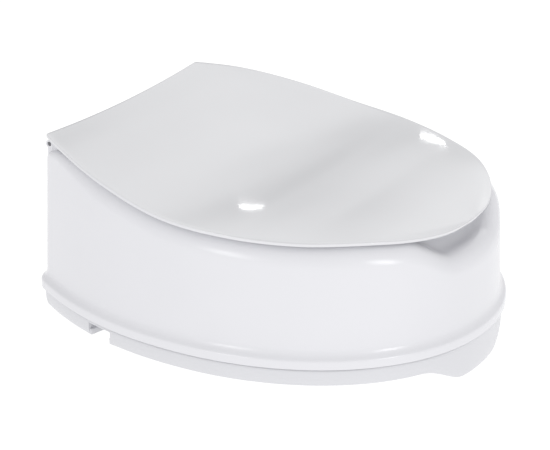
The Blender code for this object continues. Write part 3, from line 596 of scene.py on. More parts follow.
def moulded_rubber(name):
    """Black rubber: grey bloom in patches over a fine pitted skin."""
    recipe = Recipe(name)
    recipe.tint(recipe.noise(45.0, 6.0), (0.028, 0.028, 0.030), (0.062, 0.062, 0.066), 0.35, 0.8)
    recipe.roughness(recipe.noise(120.0, 5.0), 0.62, 0.82)
    recipe.relief(recipe.noise(1800.0, 3.0), 0.35, 0.3 * MM)
    recipe.shader.inputs["Specular IOR Level"].default_value = 0.35
    return recipe.mat


def zinc_steel(name, low=(0.50, 0.51, 0.53), high=(0.66, 0.67, 0.69)):
    """Zinc-plated steel: bluish spangle, fine tool marks and dull rubbed patches."""
    recipe = Recipe(name, metallic=1.0)
    recipe.tint(recipe.noise(320.0, 5.0), low, high)
    recipe.roughness(recipe.noise(90.0, 6.0), 0.24, 0.42)
    recipe.relief(recipe.stretched_noise((900.0, 900.0, 5200.0)), 0.12, 0.1 * MM)
    return recipe.mat


def turned_brass(name):
    """Turned brass: warm stain in patches and fine lathe marks."""
    recipe = Recipe(name, metallic=1.0)
    recipe.tint(recipe.noise(240.0, 5.0), (0.55, 0.38, 0.14), (0.78, 0.59, 0.28))
    recipe.roughness(recipe.noise(130.0, 5.0), 0.22, 0.38)
    recipe.relief(recipe.stretched_noise((5200.0, 900.0, 900.0)), 0.15, 0.1 * MM)
    return recipe.mat


SHELL_PLASTIC = gloss_plastic("shell_white", SHELL_WHITE, 0.20)
LID_PLASTIC = gloss_plastic("lid_white", LID_WHITE, 0.07, 0.008)
# The base ring's darker white is painted shade for the skirt under the flange.
BASE_PLASTIC_WITH_PAINTED_SHADE = gloss_plastic("base_white", BASE_WHITE_WITH_PAINTED_SHADE, 0.30)
NYLON = natural_nylon("natural_nylon")
RUBBER = moulded_rubber("black_rubber")
ZINC = zinc_steel("zinc_steel")
DARK_PIN = zinc_steel("pin_steel", (0.16, 0.16, 0.17), (0.24, 0.24, 0.25))
BRASS = turned_brass("turned_brass")


# ---------- hinge solids

def on_hinge_axis(name, radius, inner, outer, steps=48):
    """Cylinders on the hinge axis, one at each rear corner."""
    bm = bmesh.new()
    for side, _ in SIDES:
        start, end = side * inner, side * outer
        add_cylinder(bm, radius, (start, HINGE_Y, HINGE_Z), (end, HINGE_Y, HINGE_Z), steps)
    return new_piece(name, bm)


def beside_hinge(name, inner, outer, low, high):
    """Blocks at both rear corners, between two (y, z) corners."""
    bm = bmesh.new()
    for side, _ in SIDES:
        near, far = sorted((side * inner, side * outer))
        add_box(bm, (near, *low), (far, *high))
    return new_piece(name, bm)


# ---------- seat shell

def recess_drop(x, y):
    """Depth of the finger recess, which fades out towards the aperture."""
    across = smooth_step((RECESS_HALF_WIDTH - abs(x)) / RECESS_RAMP)
    return RECESS_DEPTH * across * smooth_step((RECESS_BACK - y) / RECESS_FADE)


def contour(x, y):
    """Height of the seat's rim line at a place in plan."""
    lid_edge = curve_through(LID_EDGE_HEIGHT, y)
    return lid_edge - curve_through(RIM_BELOW_LID, y) - recess_drop(x, y)


def edge_round(point):
    """Rounding between wall and seat top, tighter at the rear."""
    rear = smooth_step((point.y - 0.10) / 0.10)
    return EDGE_ROUND + (REAR_EDGE_ROUND - EDGE_ROUND) * rear


def inward(point, target, distance):
    return point + (target - point).normalized() * distance


def wall_offset(height):
    return -DRAFT * (height - DRAFT_FOOT)


def even_steps(start, end, count):
    return [start + (end - start) * i / count for i in range(count + 1)]


def flange_loops():
    """From the flange's lower edge, over its bead and cove, to the wall."""
    profile = [(FLANGE_REACH, z) for z in even_steps(FLANGE_BOTTOM, FLANGE_FACE_TOP, 3)]
    for turn in even_steps(0.0, COVE_TURN, 6)[1:]:
        profile.append((FLANGE_REACH - BEAD_RADIUS * (1 - math.cos(turn)),
                        FLANGE_FACE_TOP + BEAD_RADIUS * math.sin(turn)))
    for turn in even_steps(COVE_TURN, 0.0, 10)[1:]:
        profile.append((wall_offset(COVE_TOP) + COVE_RADIUS * (1 - math.cos(turn)),
                        COVE_TOP - COVE_RADIUS * math.sin(turn)))
    return [raised(offset_loop(WALL_LOOP, WALL_NORMALS, reach), height)
            for reach, height in profile]


def rim_loops():
    """Wall and the rounding from the wall to the rim."""
    loops = []
    for share in (0.12, 0.3, 0.5, 0.7, 0.85):
        loop = []
        for point, normal in zip(WALL_LOOP, WALL_NORMALS):
            foot = contour(point.x, point.y) - edge_round(point)
            height = COVE_TOP + (foot - COVE_TOP) * share
            place = point + normal * wall_offset(height)
            loop.append(Vector((place.x, place.y, height)))
        loops.append(loop)
    for angle in even_steps(0.0, math.pi / 2, 16):
        loop = []
        for point, normal, target in zip(WALL_LOOP, WALL_NORMALS, APERTURE_LOOP):
            radius = edge_round(point)
            foot = contour(point.x, point.y) - radius
            start = point + normal * wall_offset(foot)
            place = inward(start, target, radius * (1 - math.cos(angle)))
            loop.append(Vector((place.x, place.y, foot + radius * math.sin(angle))))
        loops.append(loop)
    return loops


def roll_drop(angle):
    return APERTURE_ROUND * (1 - math.cos(angle))


def seat_top_loops(rim):
    """From the rim over the seat top to where the aperture's rounding starts."""
    edge = offset_loop(APERTURE_LOOP, APERTURE_NORMALS, APERTURE_ROUND)
    loops = []
    for along in even_steps(0.0, 1.0, 16)[1:]:
        loop = []
        for start, end, wall_point in zip(rim, edge, WALL_LOOP):
            place = start.xy.lerp(end, along)
            outer = contour(wall_point.x, wall_point.y)
            level = outer + (contour(place.x, place.y) - outer) * along
            loop.append(Vector((place.x, place.y, level - SEAT_FALL * along**SEAT_FALL_POWER)))
        loops.append(loop)
    return loops


def inner_wall_loops(edge):
    """Aperture rounding and the wall that runs down inside the seat."""
    loops = []
    for angle in even_steps(ROLL_START, math.pi / 2, 10)[1:]:
        heights = [p.z - roll_drop(angle) + roll_drop(ROLL_START) for p in edge]
        reach = APERTURE_ROUND * (1 - math.sin(angle)) / (1 - math.sin(ROLL_START))
        loops.append(raised(offset_loop(APERTURE_LOOP, APERTURE_NORMALS, reach), heights))
    top = loops[-1]
    for share in (0.1, 0.3, 0.6, 1.0):
        loop = offset_loop(APERTURE_LOOP, APERTURE_NORMALS, -INNER_WALL_TAPER * share)
        heights = [p.z + (INNER_WALL_BOTTOM - p.z) * share for p in top]
        loops.append(raised(loop, heights))
    return loops


def lug_gussets():
    """Webs that carry the ears forwards to the shell's rim, just under the lid."""
    rear = HINGE_Y - LUG_RADIUS + 1 * MM
    outline = [(rear, GUSSET_FOOT), (GUSSET_FRONT, GUSSET_FOOT)]
    for y in (GUSSET_FRONT, rear):
        outline.append((y, lid_height(LUG_OUTER, y) - LID_THICKNESS - GUSSET_GAP))
    gussets = []
    for side, name in SIDES:
        bm = extruded(outline, side * (LUG_INNER + GAP), side * (LUG_OUTER - GAP))
        gussets.append(new_piece(f"lug_gusset_{name}", bm))
    return gussets


def lug_solid():
    """Ears on the rear corners of the shell that hold the hinge pins."""
    heads = on_hinge_axis("lug_heads", LUG_RADIUS, LUG_INNER, LUG_OUTER)
    stems = beside_hinge("lug_stems", LUG_INNER, LUG_OUTER, (HINGE_Y - LUG_RADIUS, LUG_FOOT),
                         (HINGE_Y + LUG_BACK, HINGE_Z))
    bores = on_hinge_axis("lug_bores", PIN_RADIUS + GAP, LUG_INNER - MM, LUG_OUTER + MM, 32)
    for solid in (heads, *lug_gussets()):
        boolean(stems, solid, "UNION")
    boolean(stems, bores, "DIFFERENCE")
    rounded(stems, 0.5 * MM)
    return stems


def screw_nodes():
    """Names of the CAD nodes of the base screws."""
    return sorted(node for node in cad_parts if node.startswith("base_screw_"))


def node_axis(node):
    """Plan place of the middle of an upright CAD node."""
    low, high = CAD_BOX[node]
    return (low.x + high.x) / 2, (low.y + high.y) / 2


def boss_solids():
    """Screw posts inside the wall, and the bores in them."""
    posts, bores = bmesh.new(), bmesh.new()
    for node in screw_nodes():
        x, y = node_axis(node)
        add_cylinder(posts, BOSS_RADIUS, (x, y, LEDGE_TOP + GAP), (x, y, BOSS_TOP))
        add_cylinder(bores, SCREW_RADIUS + GAP, (x, y, SKIRT_BOTTOM),
                     (x, y, LEDGE_TOP + SCREW_LENGTH), 24)
    return new_piece("boss_posts", posts), new_piece("boss_bores", bores)


def build_shell():
    rim = rim_loops()
    top = seat_top_loops(rim[-1])
    bm = loft(flange_loops() + rim + top + inner_wall_loops(top[-1]))
    shell = new_piece("shell", bm, SHELL_PLASTIC)
    solidify(shell, WALL)
    bevel(shell, 0.6 * MM)
    boolean(shell, lug_solid(), "UNION")
    posts, bores = boss_solids()
    boolean(shell, posts, "UNION")
    boolean(shell, bores, "DIFFERENCE")
    bake_modifiers(shell)
    finished(shell, "seat", "seat_shell")


# ---------- lid

LID_EDGE = [p - n * curve_through(LID_EDGE_INSET, p.y) for p, n in zip(LID_LOOP, LID_NORMALS)]


def lid_station(y):
    """Place along the wall outline whose edge height the lid has at y."""
    if y > 0:
        inset = LID_EDGE_INSET[-1][1]
        return y + inset * (y / (HALF_LENGTH - inset)) ** 4
    inset = LID_EDGE_INSET[0][1]
    return y - inset * (y / (HALF_LENGTH - inset)) ** 2


def lid_half_width(y):
    """Half width of the lid at a distance along Y, leaving out its rounded corners."""
    station = lid_station(y)
    inset = curve_through(LID_EDGE_INSET, station)
    if station > WIDEST_Y:
        return side_x(station) - inset
    reach = min((WIDEST_Y - station) / (WIDEST_Y + HALF_LENGTH), 1.0)
    return max(HALF_WIDTH * (1 - reach**FRONT_POWER) ** (1 / FRONT_POWER) - inset, MM)


def lid_height(x, y):
    """Height of the lid's top face: its edge, less the dish and the fuller curve beside it."""
    across = min(abs(x) / lid_half_width(y), 1.0)
    station = lid_station(y)
    dish = curve_through(LID_DISH, station) * (1 - across**2)
    waist = 4 * curve_through(LID_WAIST, station) * across**2 * (1 - across**2)
    return curve_through(LID_EDGE_HEIGHT, station) - dish - waist


def lid_loops():
    """Loops from the lid's edge to a line along its middle."""
    spine = 0.55
    loops = []
    for shrink in even_steps(0.0, 1.0, 34):
        loop = []
        for edge in LID_EDGE:
            x = edge.x * (1 - shrink)
            y = edge.y * (1 - shrink * (1 - spine))
            loop.append(Vector((x, y, lid_height(x, y))))
        loops.append(loop)
    return loops


def knuckle_solid():
    """Barrels under the lid's rear corners that turn on the hinge pins."""
    inner, outer = KNUCKLE_INNER, KNUCKLE_OUTER
    webs = beside_hinge("knuckle_webs", inner, outer, (HINGE_Y - KNUCKLE_RADIUS, HINGE_Z),
                        (HINGE_Y + KNUCKLE_BACK, HINGE_Z + KNUCKLE_RISE))
    barrels = on_hinge_axis("knuckle_barrels", KNUCKLE_RADIUS, inner, outer)
    bores = on_hinge_axis("knuckle_bores", BUSH_RADIUS + GAP, inner - MM, outer + MM, 32)
    boolean(webs, barrels, "UNION")
    boolean(webs, bores, "DIFFERENCE")
    rounded(webs, 0.5 * MM)
    return webs


def buffer_seats():
    """Round pads under the lid that carry the rubber buffers."""
    bm = bmesh.new()
    for side, _ in SIDES:
        for x, y in BUFFER_SPOTS:
            under = Vector((side * x, y, lid_height(x, y) - LID_THICKNESS))
            depth = Vector((0.0, 0.0, BUFFER_SEAT_DEPTH))
            add_cylinder(bm, BUFFER_SEAT_RADIUS, under - depth, under + depth)
    seats = new_piece("buffer_seats", bm)
    rounded(seats, 0.4 * MM)
    return seats


def build_lid():
    bm = loft(lid_loops())
    bmesh.ops.remove_doubles(bm, verts=bm.verts, dist=0.01 * MM)
    lid = new_piece("lid", bm, LID_PLASTIC)
    solidify(lid, LID_THICKNESS)
    bevel(lid, 0.7 * MM, 3)
    boolean(lid, knuckle_solid(), "UNION")
    boolean(lid, buffer_seats(), "UNION")
    bake_modifiers(lid)
    finished(lid, "lid", "lid_panel")


# ---------- hinge and buffers

def build_hinge():
    """Pins with chamfered ends and a small centre mark."""
    length = LUG_OUTER - 0.6 * MM - PIN_INNER
    chamfer = 0.5 * MM
    profile = [(0.3 * MM, length - 0.5 * MM), (0.8 * MM, length), (PIN_RADIUS - chamfer, length),
               (PIN_RADIUS, length - chamfer), (PIN_RADIUS, chamfer), (PIN_RADIUS - chamfer, 0.0)]
    for side, name in SIDES:
        outward = Matrix.Rotation(math.radians(90 * side), 4, "Y")
        place = Matrix.Translation((side * PIN_INNER, HINGE_Y, HINGE_Z)) @ outward
        pin = new_piece(f"pin_{name}", turned(profile[::-1], 40, place), DARK_PIN)
        bake_modifiers(pin)
        finished(pin, "seat", f"hinge_pin_{name}")


def build_buffers():
    """Domed rubber buffers with a groove round the foot and a dimple in the face."""
    for node in sorted(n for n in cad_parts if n.startswith("lid_buffer_")):
        low, high = CAD_BOX[node]
        height = high.z - low.z
        full = BUFFER_RADIUS
        profile = [(full - 0.3 * MM, 0.0), (full, -0.2 * MM), (full, -0.55 * MM),
                   (full - 0.45 * MM, -0.75 * MM), (full - 0.45 * MM, -0.95 * MM)]
        for turn in even_steps(0.0, math.pi / 2, 8):
            profile.append((full - 1.6 * MM + 1.3 * MM * math.cos(turn),
                            -1.1 * MM - (height - 1.1 * MM) * math.sin(turn)))
        profile += [(2.0 * MM, -height), (1.6 * MM, 0.25 * MM - height),
                    (1.0 * MM, 0.5 * MM - height)]
        place = Matrix.Translation((*node_axis(node), high.z))
        buffer = new_piece(node.replace("lid_", "") + "_rubber", turned(profile, 48, place), RUBBER)
        bake_modifiers(buffer)
        finished(buffer, "lid", node)


# ---------- base ring

def clamp_frame(side):
    """Frame of one side clamp: X inwards from the skirt's outer face, Z up."""
    outward = Vector((side, -side_slope(NOTCH_Y), 0.0)).normalized()
    across = Vector((0.0, 0.0, 1.0)).cross(-outward)
    foot_y = NOTCH_Y - SKIRT_REACH * abs(outward.y)
    origin = Vector((side * side_x(foot_y), foot_y, 0.0)) + outward * SKIRT_REACH
    rotation = Matrix((-outward, across, Vector((0.0, 0.0, 1.0)))).transposed().to_4x4()
    return Matrix.Translation(origin) @ rotation


def pad_frames():
    """Frame of every bowl pad, X along the ring, with its name."""
    frames = []
    for x, y, place in PAD_SPOTS:
        for side, side_name in SIDES:
            turn = math.atan2(y / HALF_LENGTH * HALF_WIDTH, side * x) + math.pi / 2
            middle = Matrix.Translation((side * x, y, 0.0))
            frames.append((middle @ Matrix.Rotation(turn, 4, "Z"), f"{place}_{side_name}"))
    return frames


def apron_share(point):
    """0 on the plain skirt, 1 on the apron's lowest stretch."""
    if point.y > 0:
        return 0.0
    return smooth_step((APRON_END - abs(point.x)) / (APRON_END - APRON_FLAT))


def skirt_loop(up, depth=0.0):
    """Loop at a depth behind the skirt's outer face, from its foot (0) to its top (1)."""
    loop = []
    for point, normal in zip(WALL_LOOP, WALL_NORMALS):
        share = apron_share(point)
        foot = SKIRT_BOTTOM * (1 - share)
        rise = (LEDGE_TOP - LEDGE_ROUND - foot) * up
        tuck = FOOT_TUCK * max(1 - rise / FOOT_HEIGHT, 0.0) ** 2
        reach = SKIRT_REACH - APRON_TAPER * share * (1 - up) ** 3.6 - tuck
        place = point + normal * (reach - depth)
        loop.append(Vector((place.x, place.y, foot + rise)))
    return loop


def collar_loop(down, depth=0.0):
    """Loop at a depth behind the collar's face, from its top (0) to its foot (1)."""
    reach = depth - COLLAR_INSET - (COLLAR_TAPER - COLLAR_INSET) * down
    top = LEDGE_TOP - LEDGE_ROUND
    loop = offset_loop(APERTURE_LOOP, APERTURE_NORMALS, reach)
    return raised(loop, top + (COLLAR_BOTTOM - top) * down)


def ledge_loops():
    """Top of the ledge, with the rounded edges towards the skirt and the collar."""
    corner = LEDGE_TOP - LEDGE_ROUND
    loops = []
    for turn in even_steps(0.0, math.pi / 2, 5)[1:]:
        reach = SKIRT_REACH - LEDGE_ROUND * (1 - math.cos(turn))
        loop = offset_loop(WALL_LOOP, WALL_NORMALS, reach)
        loops.append(raised(loop, corner + LEDGE_ROUND * math.sin(turn)))
    for turn in even_steps(math.pi / 2, 0.0, 5)[:-1]:
        reach = LEDGE_ROUND * (1 - math.cos(turn)) - COLLAR_INSET
        loop = offset_loop(APERTURE_LOOP, APERTURE_NORMALS, reach)
        loops.append(raised(loop, corner + LEDGE_ROUND * math.sin(turn)))
    return loops


def base_loops():
    """Skin of the skirt, ledge and splash collar: outside first, then back inside."""
    rises = (0.0, 0.06, 0.12, 0.2, 0.3, 0.42, 0.56, 0.7, 0.85, 1.0)
    falls = (0.0, 0.35, 0.7, 1.0)
    outside = [skirt_loop(up) for up in rises] + ledge_loops() + [collar_loop(d) for d in falls]
    under = [collar_loop(down, BASE_WALL) for down in reversed(falls)]
    under += [skirt_loop(up, BASE_WALL) for up in reversed(rises)]
    return outside + under


def channel_mouths():
    bm = bmesh.new()
    for side, _ in SIDES:
        add_box(bm, (-10 * MM, -NOTCH_HALF_WIDTH, -5 * MM),
                (10 * MM, NOTCH_HALF_WIDTH, LEDGE_TOP - BASE_WALL - 0.4 * MM), clamp_frame(side))
    mouths = new_piece("channel_mouths", bm)
    rounded(mouths, 0.8 * MM, 3, 60)
    return mouths


def channel_rails():
    """Side walls and lips of the channels that the clamps slide in."""
    half = CHANNEL_HALF_WIDTH
    inner, outer = half - CHANNEL_WALL, half + CHANNEL_WALL
    top, lip = LEDGE_TOP - 1 * MM, SKIRT_BOTTOM + LIP_HEIGHT
    outline = [(inner, RAIL_BOTTOM), (outer, RAIL_BOTTOM), (outer, top),
               (half, top), (half, lip), (inner, lip)]
    rails = []
    for side, name in SIDES:
        for edge in (-1, 1):
            bm = extruded([(edge * across, height) for across, height in outline],
                          RAIL_START, CHANNEL_LENGTH)
            bm.transform(clamp_frame(side))
            rail = new_piece(f"rail_{name}_{edge}", bm)
            rounded(rail, 0.4 * MM)
            rails.append(rail)
    return rails


def webs_and_seats():
    """Walls that hold the clamp screws, and the flat seats of the bowl pads."""
    webs, seats = bmesh.new(), bmesh.new()
    for side, _ in SIDES:
        add_box(webs, (WEB[0], -CHANNEL_HALF_WIDTH - 1 * MM, RAIL_BOTTOM + 0.4 * MM),
                (WEB[1], CHANNEL_HALF_WIDTH + 1 * MM, LEDGE_TOP - 1.5 * MM), clamp_frame(side))
    length, width = PAD_SEAT_SIZE
    for place, _ in pad_frames():
        add_box(seats, (-length / 2, -width / 2, SKIRT_BOTTOM + 3 * MM),
                (length / 2, width / 2, LEDGE_TOP - 2 * MM), place)
    return new_piece("screw_webs", webs), new_piece("pad_seats", seats)


def base_bores():
    bm = bmesh.new()
    for node in screw_nodes():
        x, y = node_axis(node)
        add_cylinder(bm, SCREW_RADIUS + GAP, (x, y, SKIRT_BOTTOM), (x, y, LEDGE_TOP + 1 * MM), 24)
    for side, _ in SIDES:
        start = clamp_frame(side) @ Vector((WEB[0] - 1 * MM, 0.0, SCREW_AXIS_Z))
        end = clamp_frame(side) @ Vector((WEB[1] + 1 * MM, 0.0, SCREW_AXIS_Z))
        add_cylinder(bm, CLAMP_SCREW_RADIUS + 1.4 * MM + GAP, start, end, 40)
    return new_piece("base_bores", bm)


def build_base():
    base = new_piece("base", closed_ring(base_loops()), BASE_PLASTIC_WITH_PAINTED_SHADE)
    bevel(base, 1.0 * MM, 3)
    bake_modifiers(base)
    merge_doubles(base)
    boolean(base, channel_mouths(), "DIFFERENCE")
    for solid in (*channel_rails(), *webs_and_seats()):
        boolean(base, solid, "UNION")
    boolean(base, base_bores(), "DIFFERENCE")
    bake_modifiers(base)
    finished(base, "seat", "base_ring")


# ---------- pads and screws

def ribbed_outline(width, thickness, groove, ribs):
    """Section of a pad with ribs along its lower face."""
    pitch = width / (2 * ribs - 1)
    points = [(-width / 2, thickness), (-width / 2, 0.0)]
    for i in range(1, 2 * ribs - 1):
        across = pitch * i - width / 2
        low, high = (0.0, groove) if i % 2 else (groove, 0.0)
        points += [(across, low), (across, high)]
    return points + [(width / 2, 0.0), (width / 2, thickness)]


def build_bowl_pads():
    length, width, height = PAD_SIZE
    for place, name in pad_frames():
        bm = extruded(ribbed_outline(width, height, 0.8 * MM, 5), -length / 2, length / 2)
        bm.transform(Matrix.Translation((0.0, 0.0, SKIRT_BOTTOM)) @ place)
        pad = new_piece(f"pad_{name}", bm, RUBBER)
        rounded(pad, 0.3 * MM)
        finished(pad, "seat", f"bowl_pad_{name}")


def cross_recess(depth, reach, half):
    """Cutter for a cross recess in a screw head, open downwards."""
    bm = bmesh.new()
    add_box(bm, (-reach, -half, -depth), (reach, half, depth))
    first = new_piece("recess_arm", bm)
    bm = bmesh.new()
    add_box(bm, (-half, -reach, -depth), (half, reach, depth))
    second = new_piece("recess", bm)
    boolean(second, first, "UNION")
    bake_modifiers(second)
    return second


def base_screw_mesh():
    """Self-tapping pan-head screw with its head down and the head's seat at zero."""
    steps = 30
    depth, pitch = 0.45 * MM, 1.7 * MM
    profile = []
    for turn in even_steps(0.0, math.pi / 2, 6)[1:]:
        dome = 0.35 + 0.65 * math.cos(turn)
        profile.append((SCREW_HEAD * math.sin(turn), -SCREW_HEAD_HEIGHT * dome))
    profile += [(SCREW_HEAD, -0.1 * MM), (SCREW_HEAD - 0.1 * MM, 0.0), (SCREW_RADIUS - depth, 0.0)]
    loops = round_loops(profile, steps)
    loops += thread_loops(SCREW_RADIUS, depth, pitch, 1 * MM, SCREW_LENGTH - 2 * MM, steps)
    loops += round_loops([(0.3 * MM, SCREW_LENGTH)], steps)
    screw = new_piece("base_screw_pattern", closed_tube(loops), ZINC)
    recess = cross_recess(1.3 * MM, 2.1 * MM, 0.45 * MM)
    recess.location.z = -SCREW_HEAD_HEIGHT
    boolean(screw, recess, "DIFFERENCE")
    return taken_mesh(screw)


def build_base_screws():
    pattern = base_screw_mesh()
    for node in screw_nodes():
        x, y = node_axis(node)
        screw = linked(node.replace("base_screw", "joint_screw"), pattern)
        screw.location = (x, y, LEDGE_TOP - BASE_WALL - GAP)
        finished(screw, "seat", node)


# ---------- side clamps

def clamp_screw_mesh():
    """Slotted cheese-head screw with the face of its head at zero."""
    steps = 40
    shank, depth, pitch = CLAMP_SCREW_RADIUS, 0.6 * MM, 1.5 * MM
    head, neck = CLAMP_HEAD_RADIUS, CLAMP_HEAD[1] - CLAMP_HEAD[0]
    length = CLAMP_SCREW_END - CLAMP_HEAD[0]
    plain = WEB[1] - CLAMP_HEAD[0] + 2 * MM
    edge = 0.8 * MM
    profile = [(head - 1.3 * MM, 0.0)]
    for turn in even_steps(0.0, math.pi / 2, 5):
        profile.append((head - edge * (1 - math.sin(turn)), edge * (1 - math.cos(turn))))
    profile += [(head, neck - 0.2 * MM), (head - 0.2 * MM, neck), (shank, neck), (shank, plain)]
    loops = round_loops(profile, steps)
    loops += thread_loops(shank, depth, pitch, plain + 0.1 * MM, length - 0.8 * MM, steps)
    loops += round_loops([(1.9 * MM, length)], steps)
    screw = new_piece("clamp_screw_pattern", closed_tube(loops), ZINC)
    bm = bmesh.new()
    add_box(bm, (-2 * head, -0.7 * MM, -1.8 * MM), (2 * head, 0.7 * MM, 1.8 * MM))
    boolean(screw, new_piece("slot", bm), "DIFFERENCE")
    return taken_mesh(screw)


def slider_outline():
    """Section of the slider's runner: wide above the lips, narrow between them."""
    wide = CHANNEL_HALF_WIDTH - GAP
    narrow = CHANNEL_HALF_WIDTH - CHANNEL_WALL - GAP
    top = LEDGE_TOP - BASE_WALL - 2 * GAP
    lip = SKIRT_BOTTOM + LIP_HEIGHT + GAP
    foot = SKIRT_BOTTOM - 1.2 * MM
    return [(-narrow, foot), (narrow, foot), (narrow, lip), (wide, lip), (wide, top),
            (-wide, top), (-wide, lip), (-narrow, lip)]


def slider_cutters():
    """Bore and nut pocket of a slider, and the hollows between its jaw's ribs."""
    round_cutters = []
    for name, radius, end in (("slider_bore", CLAMP_SCREW_RADIUS, SLIDER[1] + MM),
                              ("nut_pocket", NUT_RADIUS, NUT_END + GAP)):
        bm = bmesh.new()
        start = SLIDER[0] - MM
        add_cylinder(bm, radius + GAP, (start, 0, SCREW_AXIS_Z), (end, 0, SCREW_AXIS_Z), 40)
        round_cutters.append(new_piece(name, bm))
    bm = bmesh.new()
    for middle in JAW_HOLLOWS:
        add_box(bm, (JAW[0] + 4 * MM, middle - 3.6 * MM, -MM),
                (JAW[1] + MM, middle + 3.6 * MM, 16 * MM))
    hollows = new_piece("jaw_hollows", bm)
    rounded(hollows, 0.8 * MM, 2, 60)
    return *round_cutters, hollows


def build_slider(name, place):
    """Runner with the ribbed jaw that hangs down inside the bowl's rim."""
    slider = new_piece(f"slider_{name}", extruded(slider_outline(), *SLIDER), NYLON)
    bm = bmesh.new()
    add_box(bm, (JAW[0], -JAW_HALF_WIDTH, 0.0), (JAW[1], JAW_HALF_WIDTH, SKIRT_BOTTOM - GAP))
    boolean(slider, new_piece("jaw", bm), "UNION")
    bevel(slider, 0.4 * MM, 2, 50)
    for cutter in slider_cutters():
        boolean(slider, cutter, "DIFFERENCE")
    bake_modifiers(slider)
    slider.data.transform(place)
    finished(slider, f"clamp_{name}", f"clamp_slider_{name}")


def build_jaw_pad(name, place):
    """Rubber facing with upright ribs towards the bowl's rim."""
    width, thickness = 2 * (JAW_HALF_WIDTH - 2 * MM), JAW_PAD[1] - JAW_PAD[0]
    outline = ribbed_outline(width, thickness, 0.8 * MM, 9)
    bm = extruded(outline, -(SKIRT_BOTTOM - 4 * MM), -2 * MM)
    upright = Matrix.Rotation(math.radians(90), 4, "Y")
    bm.transform(place @ Matrix.Translation((JAW_PAD[0], 0.0, 0.0)) @ upright)
    pad = new_piece(f"jaw_pad_{name}", bm, RUBBER)
    rounded(pad, 0.3 * MM)
    finished(pad, f"clamp_{name}", f"clamp_jaw_pad_{name}")


def build_clamps():
    pattern = clamp_screw_mesh()
    along = Matrix.Rotation(math.radians(90), 4, "Y")
    for side, name in SIDES:
        place = clamp_frame(side)
        build_slider(name, place)
        build_jaw_pad(name, place)
        seat = place @ Matrix.Translation((CLAMP_HEAD[0], 0.0, SCREW_AXIS_Z)) @ along
        screw = linked(f"captive_screw_{name}", pattern)
        screw.matrix_world = seat
        finished(screw, f"screw_{name}", f"clamp_screw_{name}")


def dress_carried_nodes():
    """Give the CAD nodes that are shown as they are their materials."""
    finishes = {"clamp_bush": NYLON, "hinge_bush": NYLON, "clamp_nut": BRASS,
                "clamp_washer": ZINC, "clamp_retainer": ZINC}
    for part, mat in finishes.items():
        for _, name in SIDES:
            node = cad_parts[f"{part}_{name}"]
            for material_slot in node.material_slots:
                material_slot.material = mat


# ---------- floor, light, camera

def build_floor():
    """Plain white sweep, bright enough to lose its shadows."""
    bpy.ops.mesh.primitive_plane_add(size=30.0)
    floor = bpy.context.object
    floor.name = "floor"
    mat = bpy.data.materials.new("pale_floor")
    mat.use_nodes = True
    shader = mat.node_tree.nodes["Principled BSDF"]
    look = {"Base Color": (0.1, 0.1, 0.1, 1.0), "Roughness": 1.0, "Specular IOR Level": 0.0,
            "Emission Color": (1.0, 1.0, 1.0, 1.0), "Emission Strength": 1.0}
    for name, value in look.items():
        shader.inputs[name].default_value = value
    floor.data.materials.append(mat)


def sky_patch(tree, direction, azimuth, elevation, width, height, strength):
    """Brightness added round one direction of the studio, falling off to its rim."""
    azimuth, elevation = math.radians(azimuth), math.radians(elevation)
    place = tree.nodes.new("ShaderNodeMapping")
    place.vector_type = "TEXTURE"
    place.inputs["Location"].default_value = (math.cos(elevation) * math.cos(azimuth),
                                              math.cos(elevation) * math.sin(azimuth),
                                              math.sin(elevation))
    place.inputs["Rotation"].default_value = (0.0, -elevation, azimuth)
    place.inputs["Scale"].default_value = (1.0, width, height)
    tree.links.new(direction, place.inputs["Vector"])
    fall = tree.nodes.new("ShaderNodeTexGradient")
    fall.gradient_type = "SPHERICAL"
    tree.links.new(place.outputs["Vector"], fall.inputs["Vector"])
    amount = tree.nodes.new("ShaderNodeMath")
    amount.operation = "MULTIPLY"
    amount.inputs[1].default_value = strength
    tree.links.new(fall.outputs["Fac"], amount.inputs[0])
    return amount.outputs["Value"]


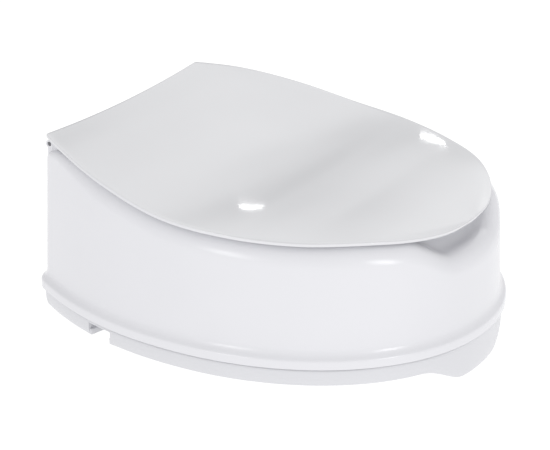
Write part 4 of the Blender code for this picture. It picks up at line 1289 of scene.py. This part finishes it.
def build_world():
    """Even studio light with the brighter and darker cards that the lid reflects."""
    world = bpy.data.worlds.new("studio")
    bpy.context.scene.world = world
    world.use_nodes = True
    tree = world.node_tree
    direction = tree.nodes.new("ShaderNodeTexCoord").outputs["Generated"]
    total = None
    for patch in STUDIO_CARDS:
        amount = sky_patch(tree, direction, *patch)
        add = tree.nodes.new("ShaderNodeMath")
        tree.links.new(amount, add.inputs[0])
        if total:
            tree.links.new(total, add.inputs[1])
        else:
            add.inputs[1].default_value = STUDIO_LIGHT
        total = add.outputs["Value"]
    background = tree.nodes["Background"]
    background.inputs["Color"].default_value = (1.0, 1.0, 1.0, 1.0)
    tree.links.new(total, background.inputs["Strength"])


def area_light(name, place, target, size, power, shape="RECTANGLE"):
    data = bpy.data.lights.new(name, "AREA")
    data.shape = shape
    data.size, data.size_y = size
    data.energy = power
    lamp = linked(name, data)
    lamp.location = place
    lamp.rotation_euler = (Vector(target) - Vector(place)).to_track_quat("-Z", "Y").to_euler()


def build_camera():
    back = Vector((math.sin(VIEW_AZIMUTH) * math.cos(VIEW_ELEVATION),
                   -math.cos(VIEW_AZIMUTH) * math.cos(VIEW_ELEVATION), math.sin(VIEW_ELEVATION)))
    right = Vector((math.cos(VIEW_AZIMUTH), math.sin(VIEW_AZIMUTH), 0.0))
    up = back.cross(right)
    data = bpy.data.cameras.new("camera")
    data.lens = LENS
    data.sensor_width = 36.0
    camera = linked("camera", data)
    camera.matrix_world = Matrix((right, up, back)).transposed().to_4x4()
    shift = right * VIEW_SHIFT_RIGHT + up * VIEW_SHIFT_UP
    camera.location = VIEW_ORIGIN + shift + back * VIEW_DISTANCE
    bpy.context.scene.camera = camera
    return right, up, back


def build_lights(right, up, back):
    """Two softboxes beside the camera, and the small lamps behind the seat."""
    middle = Vector((0.0, 0.0, 0.1))
    for side in (-1, 1):
        toward = right * SOFTBOX_ASIDE * side - up * SOFTBOX_DROP + back * SOFTBOX_BACK
        place = middle + toward.normalized() * SOFTBOX_DISTANCE
        area_light(f"softbox_{side}", place, middle, SOFTBOX_SIZE, SOFTBOX_POWERS[side])
    for number, (place, spot, size, power) in enumerate(GLINT_LAMPS):
        area_light(f"glint_{number}", place, spot, size, power, "ELLIPSE")


build_shell()
build_lid()
build_hinge()
build_buffers()
build_base()
build_bowl_pads()
build_base_screws()
build_clamps()
dress_carried_nodes()
build_floor()
build_world()
right, up, back = build_camera()
build_lights(right, up, back)
bpy.context.scene.view_settings.view_transform = "Standard"
